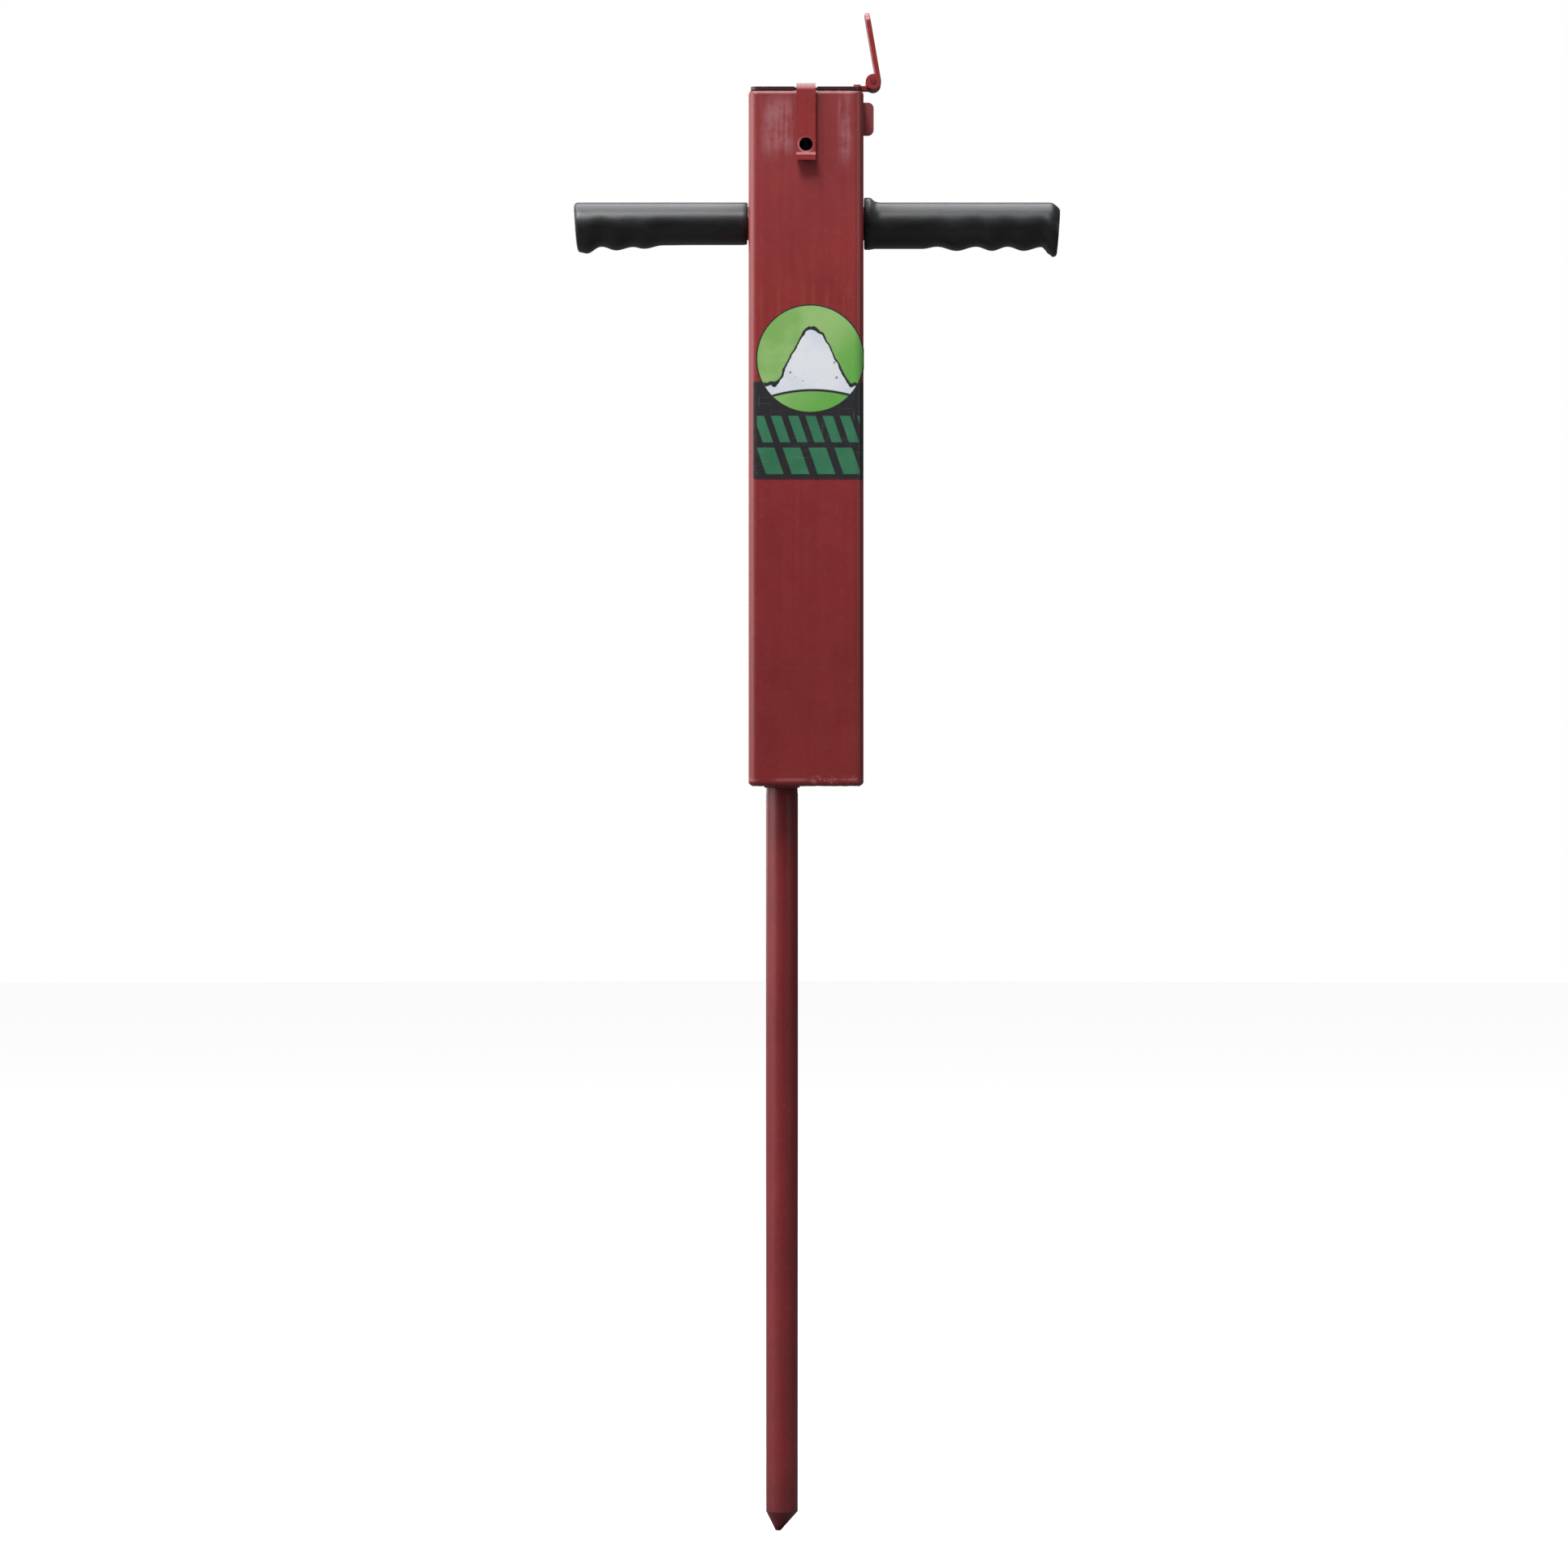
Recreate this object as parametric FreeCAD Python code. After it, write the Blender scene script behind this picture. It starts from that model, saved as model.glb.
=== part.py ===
import FreeCAD, Part
import math
import os

# Hand bait probe: a square hopper tube with a hinged lid, standing on a hollow ground spike, with a
# cross handle. Lifting the finger strap at the front slides a metering block over the spike, so that
# one measured dose of loose bait drops into the ground.
#
# Millimetres. +X is to the right, -Y is the front and +Z is up. Heights are measured from the lower end
# of the hopper tube, and the finished parts are then lifted, so that the origin is on the axis of the
# spike at the shoulder where its clear shank begins, just below the weld.

V = FreeCAD.Vector
Y_AXIS = V(0, 1, 0)

# Clearances
FIT = 0.05  # radial gap of a welded or pressed fit
RUN = 0.10  # radial gap of a running fit
AIR = 0.30  # free gap between sliding flat parts
THROUGH = 1.0  # how far a cutter reaches past the face that it opens

# Hopper tube
TUBE_SIDE = 76.2
TUBE_WALL = 3.0
TUBE_CORNER = 6.0
TUBE_RIM = 2.8  # rounding of both outer rims
TUBE_LENGTH = 460.0
TUBE_X = 15.9  # the tube's centre line, to the right of the spike's axis
BASE_PLATE = 6.0

# Ground spike
PIPE_OD = 21.3
PIPE_WALL = 2.8
PIPE_LENGTH = 483.4  # below the hopper tube
SPIGOT_D = 20.9  # the turned end that is welded into the base plate
SHOULDER = 5.0  # from the hopper's lower end down to the shoulder under the weld
FOOT_LENGTH = 100.0  # lowest piece of the spike, butt-welded on, with the outlet in its back
POINT_LENGTH = 12.7
POINT_FLAT = 3.6
POINT_SHIFT = -2.5  # the worn end of the point lies a little to the left
OUTLET_WIDTH = 11.0
OUTLET_HEIGHT = 38.0
OUTLET_LIFT = 10.0  # from the end of the pipe to the lower end of the outlet
WELD = 2.4

# Cross handle
HANDLE_Z = 374.4
BAR_OD = 22.2
BAR_WALL = 2.6
LEFT_REACH = 138.7  # from the spike's axis to the end of the left grip
RIGHT_REACH = 185.2
GRIP_CAP = 3.0
GRIP_TOP = 14.1  # from the bar's axis to the top of a grip
GRIP_GAP = 0.6  # between the tube's side and the mouth of a grip
GRIP_RING_R = 17.3  # thumb ring at the mouth of the right grip
GRIP_RING = 4.0

# Metering block and its housing
DOSE_D = 16.0
BLOCK_WIDTH = 30.0
BLOCK_HEIGHT = 25.4
BLOCK_END_GAP = 1.5
SEAL_LAP = 1.5  # the block still covers the hopper's outlet by this much at the end of its stroke
DOSE_WALL = 7.0  # block left of the dose pocket
SLIDE_GAP = 0.2
HOUSING_WALL = 3.0
FUNNEL_RISE = 25.0
FUNNEL_SHEET = 1.5

# Cam that turns the rod's lift into the block's stroke
CAM_PLATE = 3.0
CAM_GAP = 0.5
FOLLOWER_D = 3.2
FOLLOWER_LIFT = 6.0  # from the base plate to the follower pin at rest
CAM_SCREW_D = 4.0
CAM_SCREW_HEAD_D = 8.0
CAM_SCREW_HEAD = 2.2
CAM_SCREW_DEPTH = 12.0
SPACER_OD = 8.0

# Trigger rod, its guides and its spring
ROD_D = 6.35
ROD_FOOT = 2.0
ROD_TOP_GAP = 2.0  # left under the lid when the rod is lifted
SLEEVE_OD = 9.5
SLEEVE_BORE = 7.0
SLEEVE_BRACKET_Z = 200.0
GUIDE_PLATE = 4.0
GUIDE_WIDTH = 17.0
GUIDE_LIFT = 24.0  # from the handle's axis to the underside of the upper guide
COLLAR_OD = 12.0
COLLAR_HEIGHT = 6.0
COLLAR_PIN_D = 2.4
SPRING_LENGTH = 40.0
SPRING_WIRE = 1.4
SPRING_TURNS = 8
SPRING_D = 9.2  # mean diameter

# Finger strap
STRAP_WIDTH = 12.7
STRAP_THICK = 3.2
STRAP_BOTTOM_Z = 413.2
STRAP_INNER_LEG = 46.0  # drilled together with the outer leg
LIP_RADIUS = 3.0
LIP_FLAT = 3.0
LOCK_HOLE_D = 8.8
LOCK_HOLE_Z = 424.0
LOCK_ROOM = 1.4  # the hole in the tube is this much larger all round
STRAP_ROOM = 1.2  # between the strap and the notch in the lid

# Lid and its hinge
LID_PLATE = 2.4
LID_INSET = 1.5  # from the tube's sides to the lid's edge
LID_GAP = 0.2
HINGE_BARREL = 7.0
HINGE_PIN_D = 3.0
HINGE_LENGTH = 50.8
HINGE_KNUCKLES = 5
HINGE_LEAF = 2.0
HINGE_LEAF_DROP = 30.0
KNUCKLE_GAP = 0.3

# Hasp
HASP_LEAF = 3.2
HASP_BARREL = 10.4
HASP_PIN_D = 3.2
HASP_REACH = 6.75  # from the tube's side to the pin's axis
HASP_WIDTH = 30.0
HASP_KNUCKLE = 10.0  # the lid's own knuckle, in the middle
HASP_LEAF_LENGTH = 5.0
FLAP_LENGTH = 46.0
FLAP_LEAN = 9.8
FLAP_NOTCH = 6.4
KEEPER_TOP_DROP = 5.0  # from the top of the tube
KEEPER_HEIGHT = 22.0
KEEPER_WIDTH = 4.8
KEEPER_REACH = 7.1
KEEPER_ROUND = 4.0
WINDOW_ROOM = 1.3

# Label on the front
LABEL_FILM = 0.3
LABEL_DISC_R = 36.0
LABEL_DISC_X = 18.8
LABEL_DISC_Z = 282.3
LABEL_PANEL_X = (-19.0, 53.9)
LABEL_PANEL_Z = (202.8, 267.2)

# Places that follow from the sizes above
LEFT = TUBE_X - TUBE_SIDE / 2
RIGHT = TUBE_X + TUBE_SIDE / 2
BACK = TUBE_SIDE / 2
FRONT = -BACK
INNER_SIDE = TUBE_SIDE - 2 * TUBE_WALL
INNER_LEFT = LEFT + TUBE_WALL
INNER_RIGHT = RIGHT - TUBE_WALL
INNER_FRONT = FRONT + TUBE_WALL
PIPE_R = PIPE_OD / 2
PIPE_BORE_R = PIPE_R - PIPE_WALL
PIPE_END = -PIPE_LENGTH
FOOT_TOP = PIPE_END + FOOT_LENGTH
BAR_R = BAR_OD / 2

BLOCK_RIGHT = INNER_RIGHT - BLOCK_END_GAP
STROKE = (BLOCK_RIGHT - SEAL_LAP - DOSE_D / 2) / 2
DOSE_X = STROKE
BLOCK_LEFT = DOSE_X - DOSE_D / 2 - DOSE_WALL
BLOCK_Z = (BASE_PLATE + SLIDE_GAP, BASE_PLATE + SLIDE_GAP + BLOCK_HEIGHT)
BLOCK_MID_Z = sum(BLOCK_Z) / 2
BLOCK_FRONT = -BLOCK_WIDTH / 2
CHANNEL_Y = BLOCK_WIDTH / 2 + AIR
CHANNEL_TOP = BLOCK_Z[1] + SLIDE_GAP
HOUSING_Y = CHANNEL_Y + HOUSING_WALL
HOUSING_TOP = CHANNEL_TOP + HOUSING_WALL
FUNNEL_TOP = HOUSING_TOP + FUNNEL_RISE

STRAP_GAP = AIR  # between the strap's legs and the tube's wall
STRAP_OUT = FRONT - STRAP_GAP - STRAP_THICK
STRAP_IN = INNER_FRONT + STRAP_GAP + STRAP_THICK
BEND_INNER = TUBE_WALL / 2 + STRAP_GAP
BEND_OUTER = BEND_INNER + STRAP_THICK
BEND_Y = FRONT + TUBE_WALL / 2
BEND_Z = TUBE_LENGTH - 0.4
ROD_X = TUBE_X
ROD_Y = STRAP_IN + ROD_D / 2
ROD_TOP = TUBE_LENGTH - STROKE - ROD_TOP_GAP
ROD_BOTTOM = BASE_PLATE + ROD_FOOT
FOLLOWER_Z = BASE_PLATE + FOLLOWER_LIFT
GUIDE_Z = HANDLE_Z + GUIDE_LIFT
COLLAR_TOP = GUIDE_Z - SPRING_LENGTH
COLLAR_BOTTOM = COLLAR_TOP - COLLAR_HEIGHT
SLEEVE_BOTTOM = HOUSING_TOP + 9.0
SLEEVE_TOP = COLLAR_BOTTOM - 6.0
CAM_BACK = -HOUSING_Y - CAM_GAP
CAM_FRONT = CAM_BACK - CAM_PLATE
CAM_X = (ROD_X - 9.0, ROD_X + STROKE + 8.0)
CAM_Z = (BASE_PLATE + 0.5, FOLLOWER_Z + STROKE + 6.0)
CAM_SCREWS_X = (ROD_X - 4.0, ROD_X + STROKE + 3.0)

LID_BOTTOM = TUBE_LENGTH + LID_GAP
LID_TOP = LID_BOTTOM + LID_PLATE
HINGE_R = HINGE_BARREL / 2
HINGE_Y = BACK + HINGE_R + 0.4
HINGE_Z = (LID_BOTTOM + LID_TOP) / 2
HINGE_X = (TUBE_X - HINGE_LENGTH / 2, TUBE_X + HINGE_LENGTH / 2)
HASP_R = HASP_BARREL / 2
HASP_X = RIGHT + HASP_REACH
HASP_Z = LID_TOP + HASP_R
KEEPER_TOP = TUBE_LENGTH - KEEPER_TOP_DROP
KEEPER_BOTTOM = KEEPER_TOP - KEEPER_HEIGHT


# Shapes that several parts use

def block(xs, ys, zs):
    """Box between two limits on each axis."""
    return Part.makeBox(xs[1] - xs[0], ys[1] - ys[0], zs[1] - zs[0], V(xs[0], ys[0], zs[0]))


def rod(radius, start, end):
    """Round bar from one point to another."""
    run = end.sub(start)
    return Part.makeCylinder(radius, run.Length, start, run)


def tube(outer, inner, start, end):
    """Round tube from one point to another."""
    over = end.sub(start).normalize().multiply(THROUGH)
    return rod(outer, start, end).cut(rod(inner, start.sub(over), end.add(over)))


def upright(radius, x, y, zs):
    """Round bar that stands along Z."""
    return rod(radius, V(x, y, zs[0]), V(x, y, zs[1]))


def past(limits):
    """Limits of a cutter that opens both faces."""
    return (limits[0] - THROUGH, limits[1] + THROUGH)


def square_prism(side, corner, zs):
    """Upright prism on the hopper's centre line, with rounded corners."""
    half = side / 2
    prism = block((TUBE_X - half, TUBE_X + half), (-half, half), zs)
    height = zs[1] - zs[0]
    edges = [edge for edge in prism.Edges if abs(edge.Length - height) < 0.01]
    edges = [edge for edge in edges if edge.BoundBox.ZLength > height / 2]
    return prism.makeFillet(corner, edges)


def joined(shapes):
    """One clean solid from pieces that touch."""
    whole = shapes[0].fuse(list(shapes[1:])) if len(shapes) > 1 else shapes[0]
    return whole.removeSplitter()


def bend(inner, outer, centre, start, sweep):
    """Part of a ring about an axis along X, as wide as the strap, swept upwards from start degrees."""
    xs = (ROD_X - STRAP_WIDTH / 2, ROD_X + STRAP_WIDTH / 2)
    corners = [V(x, centre[0] + r, centre[1]) for x, r in
               ((xs[0], inner), (xs[1], inner), (xs[1], outer), (xs[0], outer))]
    face = Part.Face(Part.makePolygon(corners + corners[:1]))
    pivot = V(0, centre[0], centre[1])
    face.rotate(pivot, V(1, 0, 0), start)
    return face.revolve(pivot, V(1, 0, 0), sweep)


def square_wire(side, x, z):
    """Level square about a point on the plane of symmetry."""
    half = side / 2
    corners = [V(x - half, -half, z), V(x + half, -half, z), V(x + half, half, z), V(x - half, half, z)]
    return Part.makePolygon(corners + corners[:1])


# Hopper and spike

def hopper_tube():
    walls = square_prism(TUBE_SIDE, TUBE_CORNER, (0, TUBE_LENGTH))
    rims = [edge for edge in walls.Edges if edge.BoundBox.ZLength < THROUGH]
    walls = walls.makeFillet(TUBE_RIM, rims)
    walls = walls.cut(square_prism(INNER_SIDE, TUBE_CORNER - TUBE_WALL, past((0, TUBE_LENGTH))))
    bar_hole = rod(BAR_R + FIT, V(LEFT - THROUGH, 0, HANDLE_Z), V(RIGHT + THROUGH, 0, HANDLE_Z))
    lock_hole = rod(LOCK_HOLE_D / 2 + LOCK_ROOM, V(ROD_X, FRONT - THROUGH, LOCK_HOLE_Z),
                    V(ROD_X, INNER_FRONT + THROUGH, LOCK_HOLE_Z))
    return walls.cut([bar_hole, lock_hole])


def bottom_plate():
    plate = square_prism(INNER_SIDE - 2 * FIT, TUBE_CORNER - TUBE_WALL, (0, BASE_PLATE))
    return plate.cut(upright(SPIGOT_D / 2 + FIT, 0, 0, past((0, BASE_PLATE))))


def outlet_cutter(width, zs):
    """Round-ended slot through the back of the spike."""
    half = width / 2
    ys = (0, PIPE_OD)
    low, high = zs[0] + half, zs[1] - half
    ends = [rod(half, V(0, ys[0], z), V(0, ys[1], z)) for z in (low, high)]
    return joined([block((-half, half), ys, (low, high))] + ends)


def probe_pipe():
    shank = upright(PIPE_R, 0, 0, (FOOT_TOP, -SHOULDER))
    spigot = upright(SPIGOT_D / 2, 0, 0, (-SHOULDER, BASE_PLATE))
    return shank.fuse(spigot).cut(upright(PIPE_BORE_R, 0, 0, past((FOOT_TOP, BASE_PLATE))))


def probe_foot():
    wall = tube(PIPE_R, PIPE_BORE_R, V(0, 0, PIPE_END), V(0, 0, FOOT_TOP))
    low = PIPE_END + OUTLET_LIFT
    return wall.cut(outlet_cutter(OUTLET_WIDTH, (low, low + OUTLET_HEIGHT)))


def probe_tip():
    """Solid point, with a plug whose sloping top turns the bait out of the outlet."""
    rim = Part.Wire(Part.makeCircle(PIPE_R, V(0, 0, PIPE_END)))
    end = Part.Wire(Part.makeCircle(POINT_FLAT / 2, V(POINT_SHIFT, 0, PIPE_END - POINT_LENGTH)))
    point = Part.makeLoft([end, rim], True, True)
    low = PIPE_END + OUTLET_LIFT
    radius = PIPE_BORE_R - FIT
    plug = upright(radius, 0, 0, (PIPE_END, low + 2 * radius))
    reach = 2 * PIPE_OD
    slope = block((-PIPE_OD, PIPE_OD), (-reach, reach), (0, reach))
    slope.rotate(V(0, 0, 0), V(1, 0, 0), -45)
    slope.translate(V(0, radius, low))
    return joined([point, plug.cut(slope)])


def probe_weld():
    """Fillet weld between the spike and the underside of the hopper."""
    root = SPIGOT_D / 2 + FIT
    corners = [V(root, 0, 0), V(root + WELD, 0, 0), V(root, 0, -WELD)]
    face = Part.Face(Part.makePolygon(corners + corners[:1]))
    return face.revolve(V(0, 0, 0), V(0, 0, 1), 360)


def frustum(low_side, low_z, high_side, high_z):
    """Four-sided taper from the metering outlet up to the hopper's walls."""
    low = square_wire(low_side, DOSE_X, low_z)
    high = square_wire(high_side, TUBE_X, high_z)
    return Part.makeLoft([low, high], True, True)


def hopper_funnel():
    side = INNER_SIDE - 2 * FIT
    outside = frustum(DOSE_D + 2 * FUNNEL_SHEET, HOUSING_TOP, side, FUNNEL_TOP)
    inside = frustum(DOSE_D, HOUSING_TOP - 0.01, side - 2 * FUNNEL_SHEET, FUNNEL_TOP + 0.01)
    sheet = outside.cut(inside)
    sheet = sheet.common(square_prism(side, TUBE_CORNER - TUBE_WALL, past((HOUSING_TOP, FUNNEL_TOP))))
    return sheet.cut(upright(SLEEVE_OD / 2 + FIT, ROD_X, ROD_Y, past((HOUSING_TOP, FUNNEL_TOP))))


def metering_housing():
    """Channel that guides the block, open below on to the base plate."""
    xs = (INNER_LEFT + FIT, INNER_RIGHT - FIT)
    shell = block(xs, (-HOUSING_Y, HOUSING_Y), (BASE_PLATE, HOUSING_TOP))
    channel = block(past(xs), (-CHANNEL_Y, CHANNEL_Y), (BASE_PLATE - THROUGH, CHANNEL_TOP))
    outlet = upright(DOSE_D / 2, DOSE_X, 0, (CHANNEL_TOP - THROUGH, HOUSING_TOP + THROUGH))
    reach = SPACER_OD / 2 + AIR
    slot_x = (CAM_SCREWS_X[0] - STROKE - reach, CAM_SCREWS_X[1] + reach)
    slot = block(slot_x, (-HOUSING_Y - THROUGH, -CHANNEL_Y + THROUGH),
                 (BLOCK_MID_Z - reach, BLOCK_MID_Z + reach))
    return shell.cut([channel, outlet, slot])


# Cross handle

def handle_bar():
    inset = GRIP_CAP + FIT
    return tube(BAR_R, BAR_R - BAR_WALL, V(-LEFT_REACH + inset, 0, HANDLE_Z),
                V(RIGHT_REACH - inset, 0, HANDLE_Z))


def handle_welds():
    """Fillet welds round the bar, on the inner side of both walls."""
    beads = []
    for wall, inward in ((INNER_LEFT, 1), (INNER_RIGHT, -1)):
        corners = [V(wall, BAR_R + FIT, HANDLE_Z), V(wall, BAR_R + WELD, HANDLE_Z),
                   V(wall + inward * WELD, BAR_R + FIT, HANDLE_Z)]
        face = Part.Face(Part.makePolygon(corners + corners[:1]))
        beads.append(face.revolve(V(0, 0, HANDLE_Z), V(1, 0, 0), 360))
    return Part.makeCompound(beads)


def grip(mouth, end, belly):
    """Moulded sleeve from the mouth to the closed end.

    belly gives (distance inward from the end, depth below the bar's axis) along the grip.
    """
    inward = 1 if mouth > end else -1
    sections = []
    for distance, depth in belly:
        radius = (GRIP_TOP + depth) / 2
        centre = V(end + inward * distance, 0, HANDLE_Z + (GRIP_TOP - depth) / 2)
        sections.append(Part.Wire(Part.makeCircle(radius, centre, V(1, 0, 0))))
    body = Part.makeLoft(sections, True, True)
    bore_end = end + inward * GRIP_CAP
    return body.cut(rod(BAR_R + FIT, V(bore_end, 0, HANDLE_Z), V(mouth + inward * THROUGH, 0, HANDLE_Z)))


def left_grip():
    length = LEFT_REACH + LEFT - GRIP_GAP
    belly = [(0, 14.5), (3, 18.6), (9, 19.6), (19, 15.4), (28.5, 17.9), (40, 15.6), (47, 16.7),
             (60, 15.2), (80, 14.6), (length, 14.1)]
    return grip(LEFT - GRIP_GAP, -LEFT_REACH, belly)


def right_grip():
    mouth = RIGHT + GRIP_GAP
    belly = [(0, 20.5), (2.5, 21.8), (12, 15.4), (24.5, 18.2), (35, 15.4), (45.5, 18.2), (56, 15.4),
             (69, 18.2), (82, 15.4), (92, 16.9), (RIGHT_REACH - mouth, 16.9)]
    ring = tube(GRIP_RING_R, BAR_R + FIT, V(mouth, 0, HANDLE_Z), V(mouth + GRIP_RING, 0, HANDLE_Z))
    return joined([grip(mouth, RIGHT_REACH, belly), ring])


# Lid, hinge and hasp

def knuckle_spans():
    """Lengths of the hinge's knuckles along X, from left to right."""
    pitch = HINGE_LENGTH / HINGE_KNUCKLES
    starts = [HINGE_X[0] + n * pitch for n in range(HINGE_KNUCKLES)]
    return [(x + KNUCKLE_GAP / 2, x + pitch - KNUCKLE_GAP / 2) for x in starts]


def hinge_knuckle(xs):
    return rod(HINGE_R, V(xs[0], HINGE_Y, HINGE_Z), V(xs[1], HINGE_Y, HINGE_Z))


def hinge_bore():
    return rod(HINGE_PIN_D / 2 + RUN, V(HINGE_X[0] - THROUGH, HINGE_Y, HINGE_Z),
               V(HINGE_X[1] + THROUGH, HINGE_Y, HINGE_Z))


def hinge_leaf():
    """Fixed leaf on the back of the tube, with the odd knuckles."""
    top = HINGE_Z - HINGE_R - 0.5
    ys = (BACK, BACK + HINGE_LEAF)
    pieces = [block(HINGE_X, ys, (top - HINGE_LEAF_DROP, top))]
    for xs in knuckle_spans()[::2]:
        pieces.append(block(xs, ys, (top - THROUGH, HINGE_Z)))
        pieces.append(hinge_knuckle(xs))
    return joined(pieces).cut(hinge_bore())


def hinge_pin():
    return rod(HINGE_PIN_D / 2, V(HINGE_X[0] - 0.6, HINGE_Y, HINGE_Z), V(HINGE_X[1] + 0.6, HINGE_Y, HINGE_Z))


def lid_plate():
    """Flat lid with a notch for the finger strap and the even knuckles behind."""
    zs = (LID_BOTTOM, LID_TOP)
    plate = square_prism(TUBE_SIDE - 2 * LID_INSET, TUBE_CORNER - LID_INSET, zs)
    half = STRAP_WIDTH / 2 + STRAP_ROOM
    notch = block((ROD_X - half, ROD_X + half), (FRONT - THROUGH, STRAP_IN + STRAP_ROOM), past(zs))
    pieces = [plate.cut(notch)]
    for xs in knuckle_spans()[1::2]:
        pieces.append(block(xs, (BACK - LID_INSET - THROUGH, HINGE_Y), zs))
        pieces.append(hinge_knuckle(xs))
    return joined(pieces).cut(hinge_bore())


def hasp_bore():
    half = HASP_WIDTH / 2 + THROUGH
    return rod(HASP_PIN_D / 2 + RUN, V(HASP_X, -half, HASP_Z), V(HASP_X, half, HASP_Z))


def hasp_leaf():
    """Leaf on the lid whose tongue is rolled up round the hasp's pin."""
    half = HASP_KNUCKLE / 2
    zs = (LID_TOP, LID_TOP + HASP_LEAF)
    edge = RIGHT - LID_INSET
    foot = block((edge - HASP_LEAF_LENGTH, edge), (-HASP_WIDTH / 2, HASP_WIDTH / 2), zs)
    tongue = block((edge - THROUGH, HASP_X), (-half, half), zs)
    barrel = rod(HASP_R, V(HASP_X, -half, HASP_Z), V(HASP_X, half, HASP_Z))
    return joined([foot, tongue, barrel]).cut(hasp_bore())


def hasp_pin():
    half = HASP_WIDTH / 2 + 0.5
    return rod(HASP_PIN_D / 2, V(HASP_X, -half, HASP_Z), V(HASP_X, half, HASP_Z))


def hasp_flap():
    """Flap modelled as it hangs over the keeper, then turned up to where it stands at rest."""
    half = HASP_WIDTH / 2
    inner = HASP_KNUCKLE / 2 + AIR
    xs = (HASP_X - HASP_R, HASP_X - HASP_R + HASP_LEAF)
    plate = block(xs, (-half, half), (HASP_Z - FLAP_LENGTH, HASP_Z))
    corners = [edge for edge in plate.Edges
               if edge.BoundBox.ZMax < HASP_Z - FLAP_LENGTH + 1 and edge.BoundBox.XLength > 1]
    plate = plate.makeFillet(FLAP_NOTCH, corners)
    notch = block(past(xs), (-inner, inner), (HASP_Z - FLAP_NOTCH, HASP_Z + THROUGH))
    reach = KEEPER_WIDTH / 2 + WINDOW_ROOM
    window = block(past(xs), (-reach, reach), (KEEPER_BOTTOM - WINDOW_ROOM, KEEPER_TOP + WINDOW_ROOM))
    barrels = [rod(HASP_R, V(HASP_X, low, HASP_Z), V(HASP_X, high, HASP_Z))
               for low, high in ((-half, -inner), (inner, half))]
    flap = joined([plate.cut([notch, window])] + barrels).cut(hasp_bore())
    flap.rotate(V(HASP_X, 0, HASP_Z), Y_AXIS, -180 - FLAP_LEAN)
    return flap


def hasp_keeper():
    lug = block((RIGHT, RIGHT + KEEPER_REACH), (-KEEPER_WIDTH / 2, KEEPER_WIDTH / 2),
                (KEEPER_BOTTOM, KEEPER_TOP))
    rounds = [edge for edge in lug.Edges
              if edge.BoundBox.XMin > RIGHT + 1 and edge.BoundBox.YLength > KEEPER_WIDTH / 2]
    return lug.makeFillet(KEEPER_ROUND, rounds)


# Trigger

def trigger_strap():
    """Flat bar bent over the edge of the tube, with a lip for the finger and a hole for a lock pin."""
    xs = (ROD_X - STRAP_WIDTH / 2, ROD_X + STRAP_WIDTH / 2)
    outer_face = (STRAP_OUT, STRAP_OUT + STRAP_THICK)
    lip_outer = LIP_RADIUS + STRAP_THICK
    lip_z = STRAP_BOTTOM_Z + lip_outer
    lip_y = STRAP_OUT - LIP_RADIUS
    pieces = [
        block(xs, outer_face, (lip_z, BEND_Z)),
        bend(BEND_INNER, BEND_OUTER, (BEND_Y, BEND_Z), 0, 180),
        block(xs, (STRAP_IN - STRAP_THICK, STRAP_IN), (BEND_Z - STRAP_INNER_LEG, BEND_Z)),
        bend(LIP_RADIUS, lip_outer, (lip_y, lip_z), -90, 90),
        block(xs, (lip_y - LIP_FLAT, lip_y), (STRAP_BOTTOM_Z, STRAP_BOTTOM_Z + STRAP_THICK)),
    ]
    hole = rod(LOCK_HOLE_D / 2, V(ROD_X, STRAP_OUT - THROUGH, LOCK_HOLE_Z),
               V(ROD_X, STRAP_IN + THROUGH, LOCK_HOLE_Z))
    return joined(pieces).cut(hole)


def follower_pin():
    return rod(FOLLOWER_D / 2, V(ROD_X, ROD_Y - ROD_D / 2, FOLLOWER_Z), V(ROD_X, CAM_BACK - 0.2, FOLLOWER_Z))


def collar_pin():
    z = COLLAR_BOTTOM + COLLAR_HEIGHT / 2
    return rod(COLLAR_PIN_D / 2, V(ROD_X - COLLAR_OD / 2, ROD_Y, z), V(ROD_X + COLLAR_OD / 2, ROD_Y, z))


def trigger_rod():
    shaft = upright(ROD_D / 2, ROD_X, ROD_Y, (ROD_BOTTOM, ROD_TOP))
    return shaft.cut([follower_pin(), collar_pin()])


def spring_collar():
    collar = tube(COLLAR_OD / 2, ROD_D / 2 + FIT, V(ROD_X, ROD_Y, COLLAR_BOTTOM), V(ROD_X, ROD_Y, COLLAR_TOP))
    return collar.cut(collar_pin())


def return_spring():
    low = COLLAR_TOP + SPRING_WIRE / 2
    height = SPRING_LENGTH - SPRING_WIRE
    helix = Part.makeHelix(height / SPRING_TURNS, height, SPRING_D / 2)
    wire = Part.Wire(Part.makeCircle(SPRING_WIRE / 2, V(SPRING_D / 2, 0, 0), Y_AXIS))
    coil = Part.Wire(helix).makePipeShell([wire], True, True)
    coil.translate(V(ROD_X, ROD_Y, low))
    return coil


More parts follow.
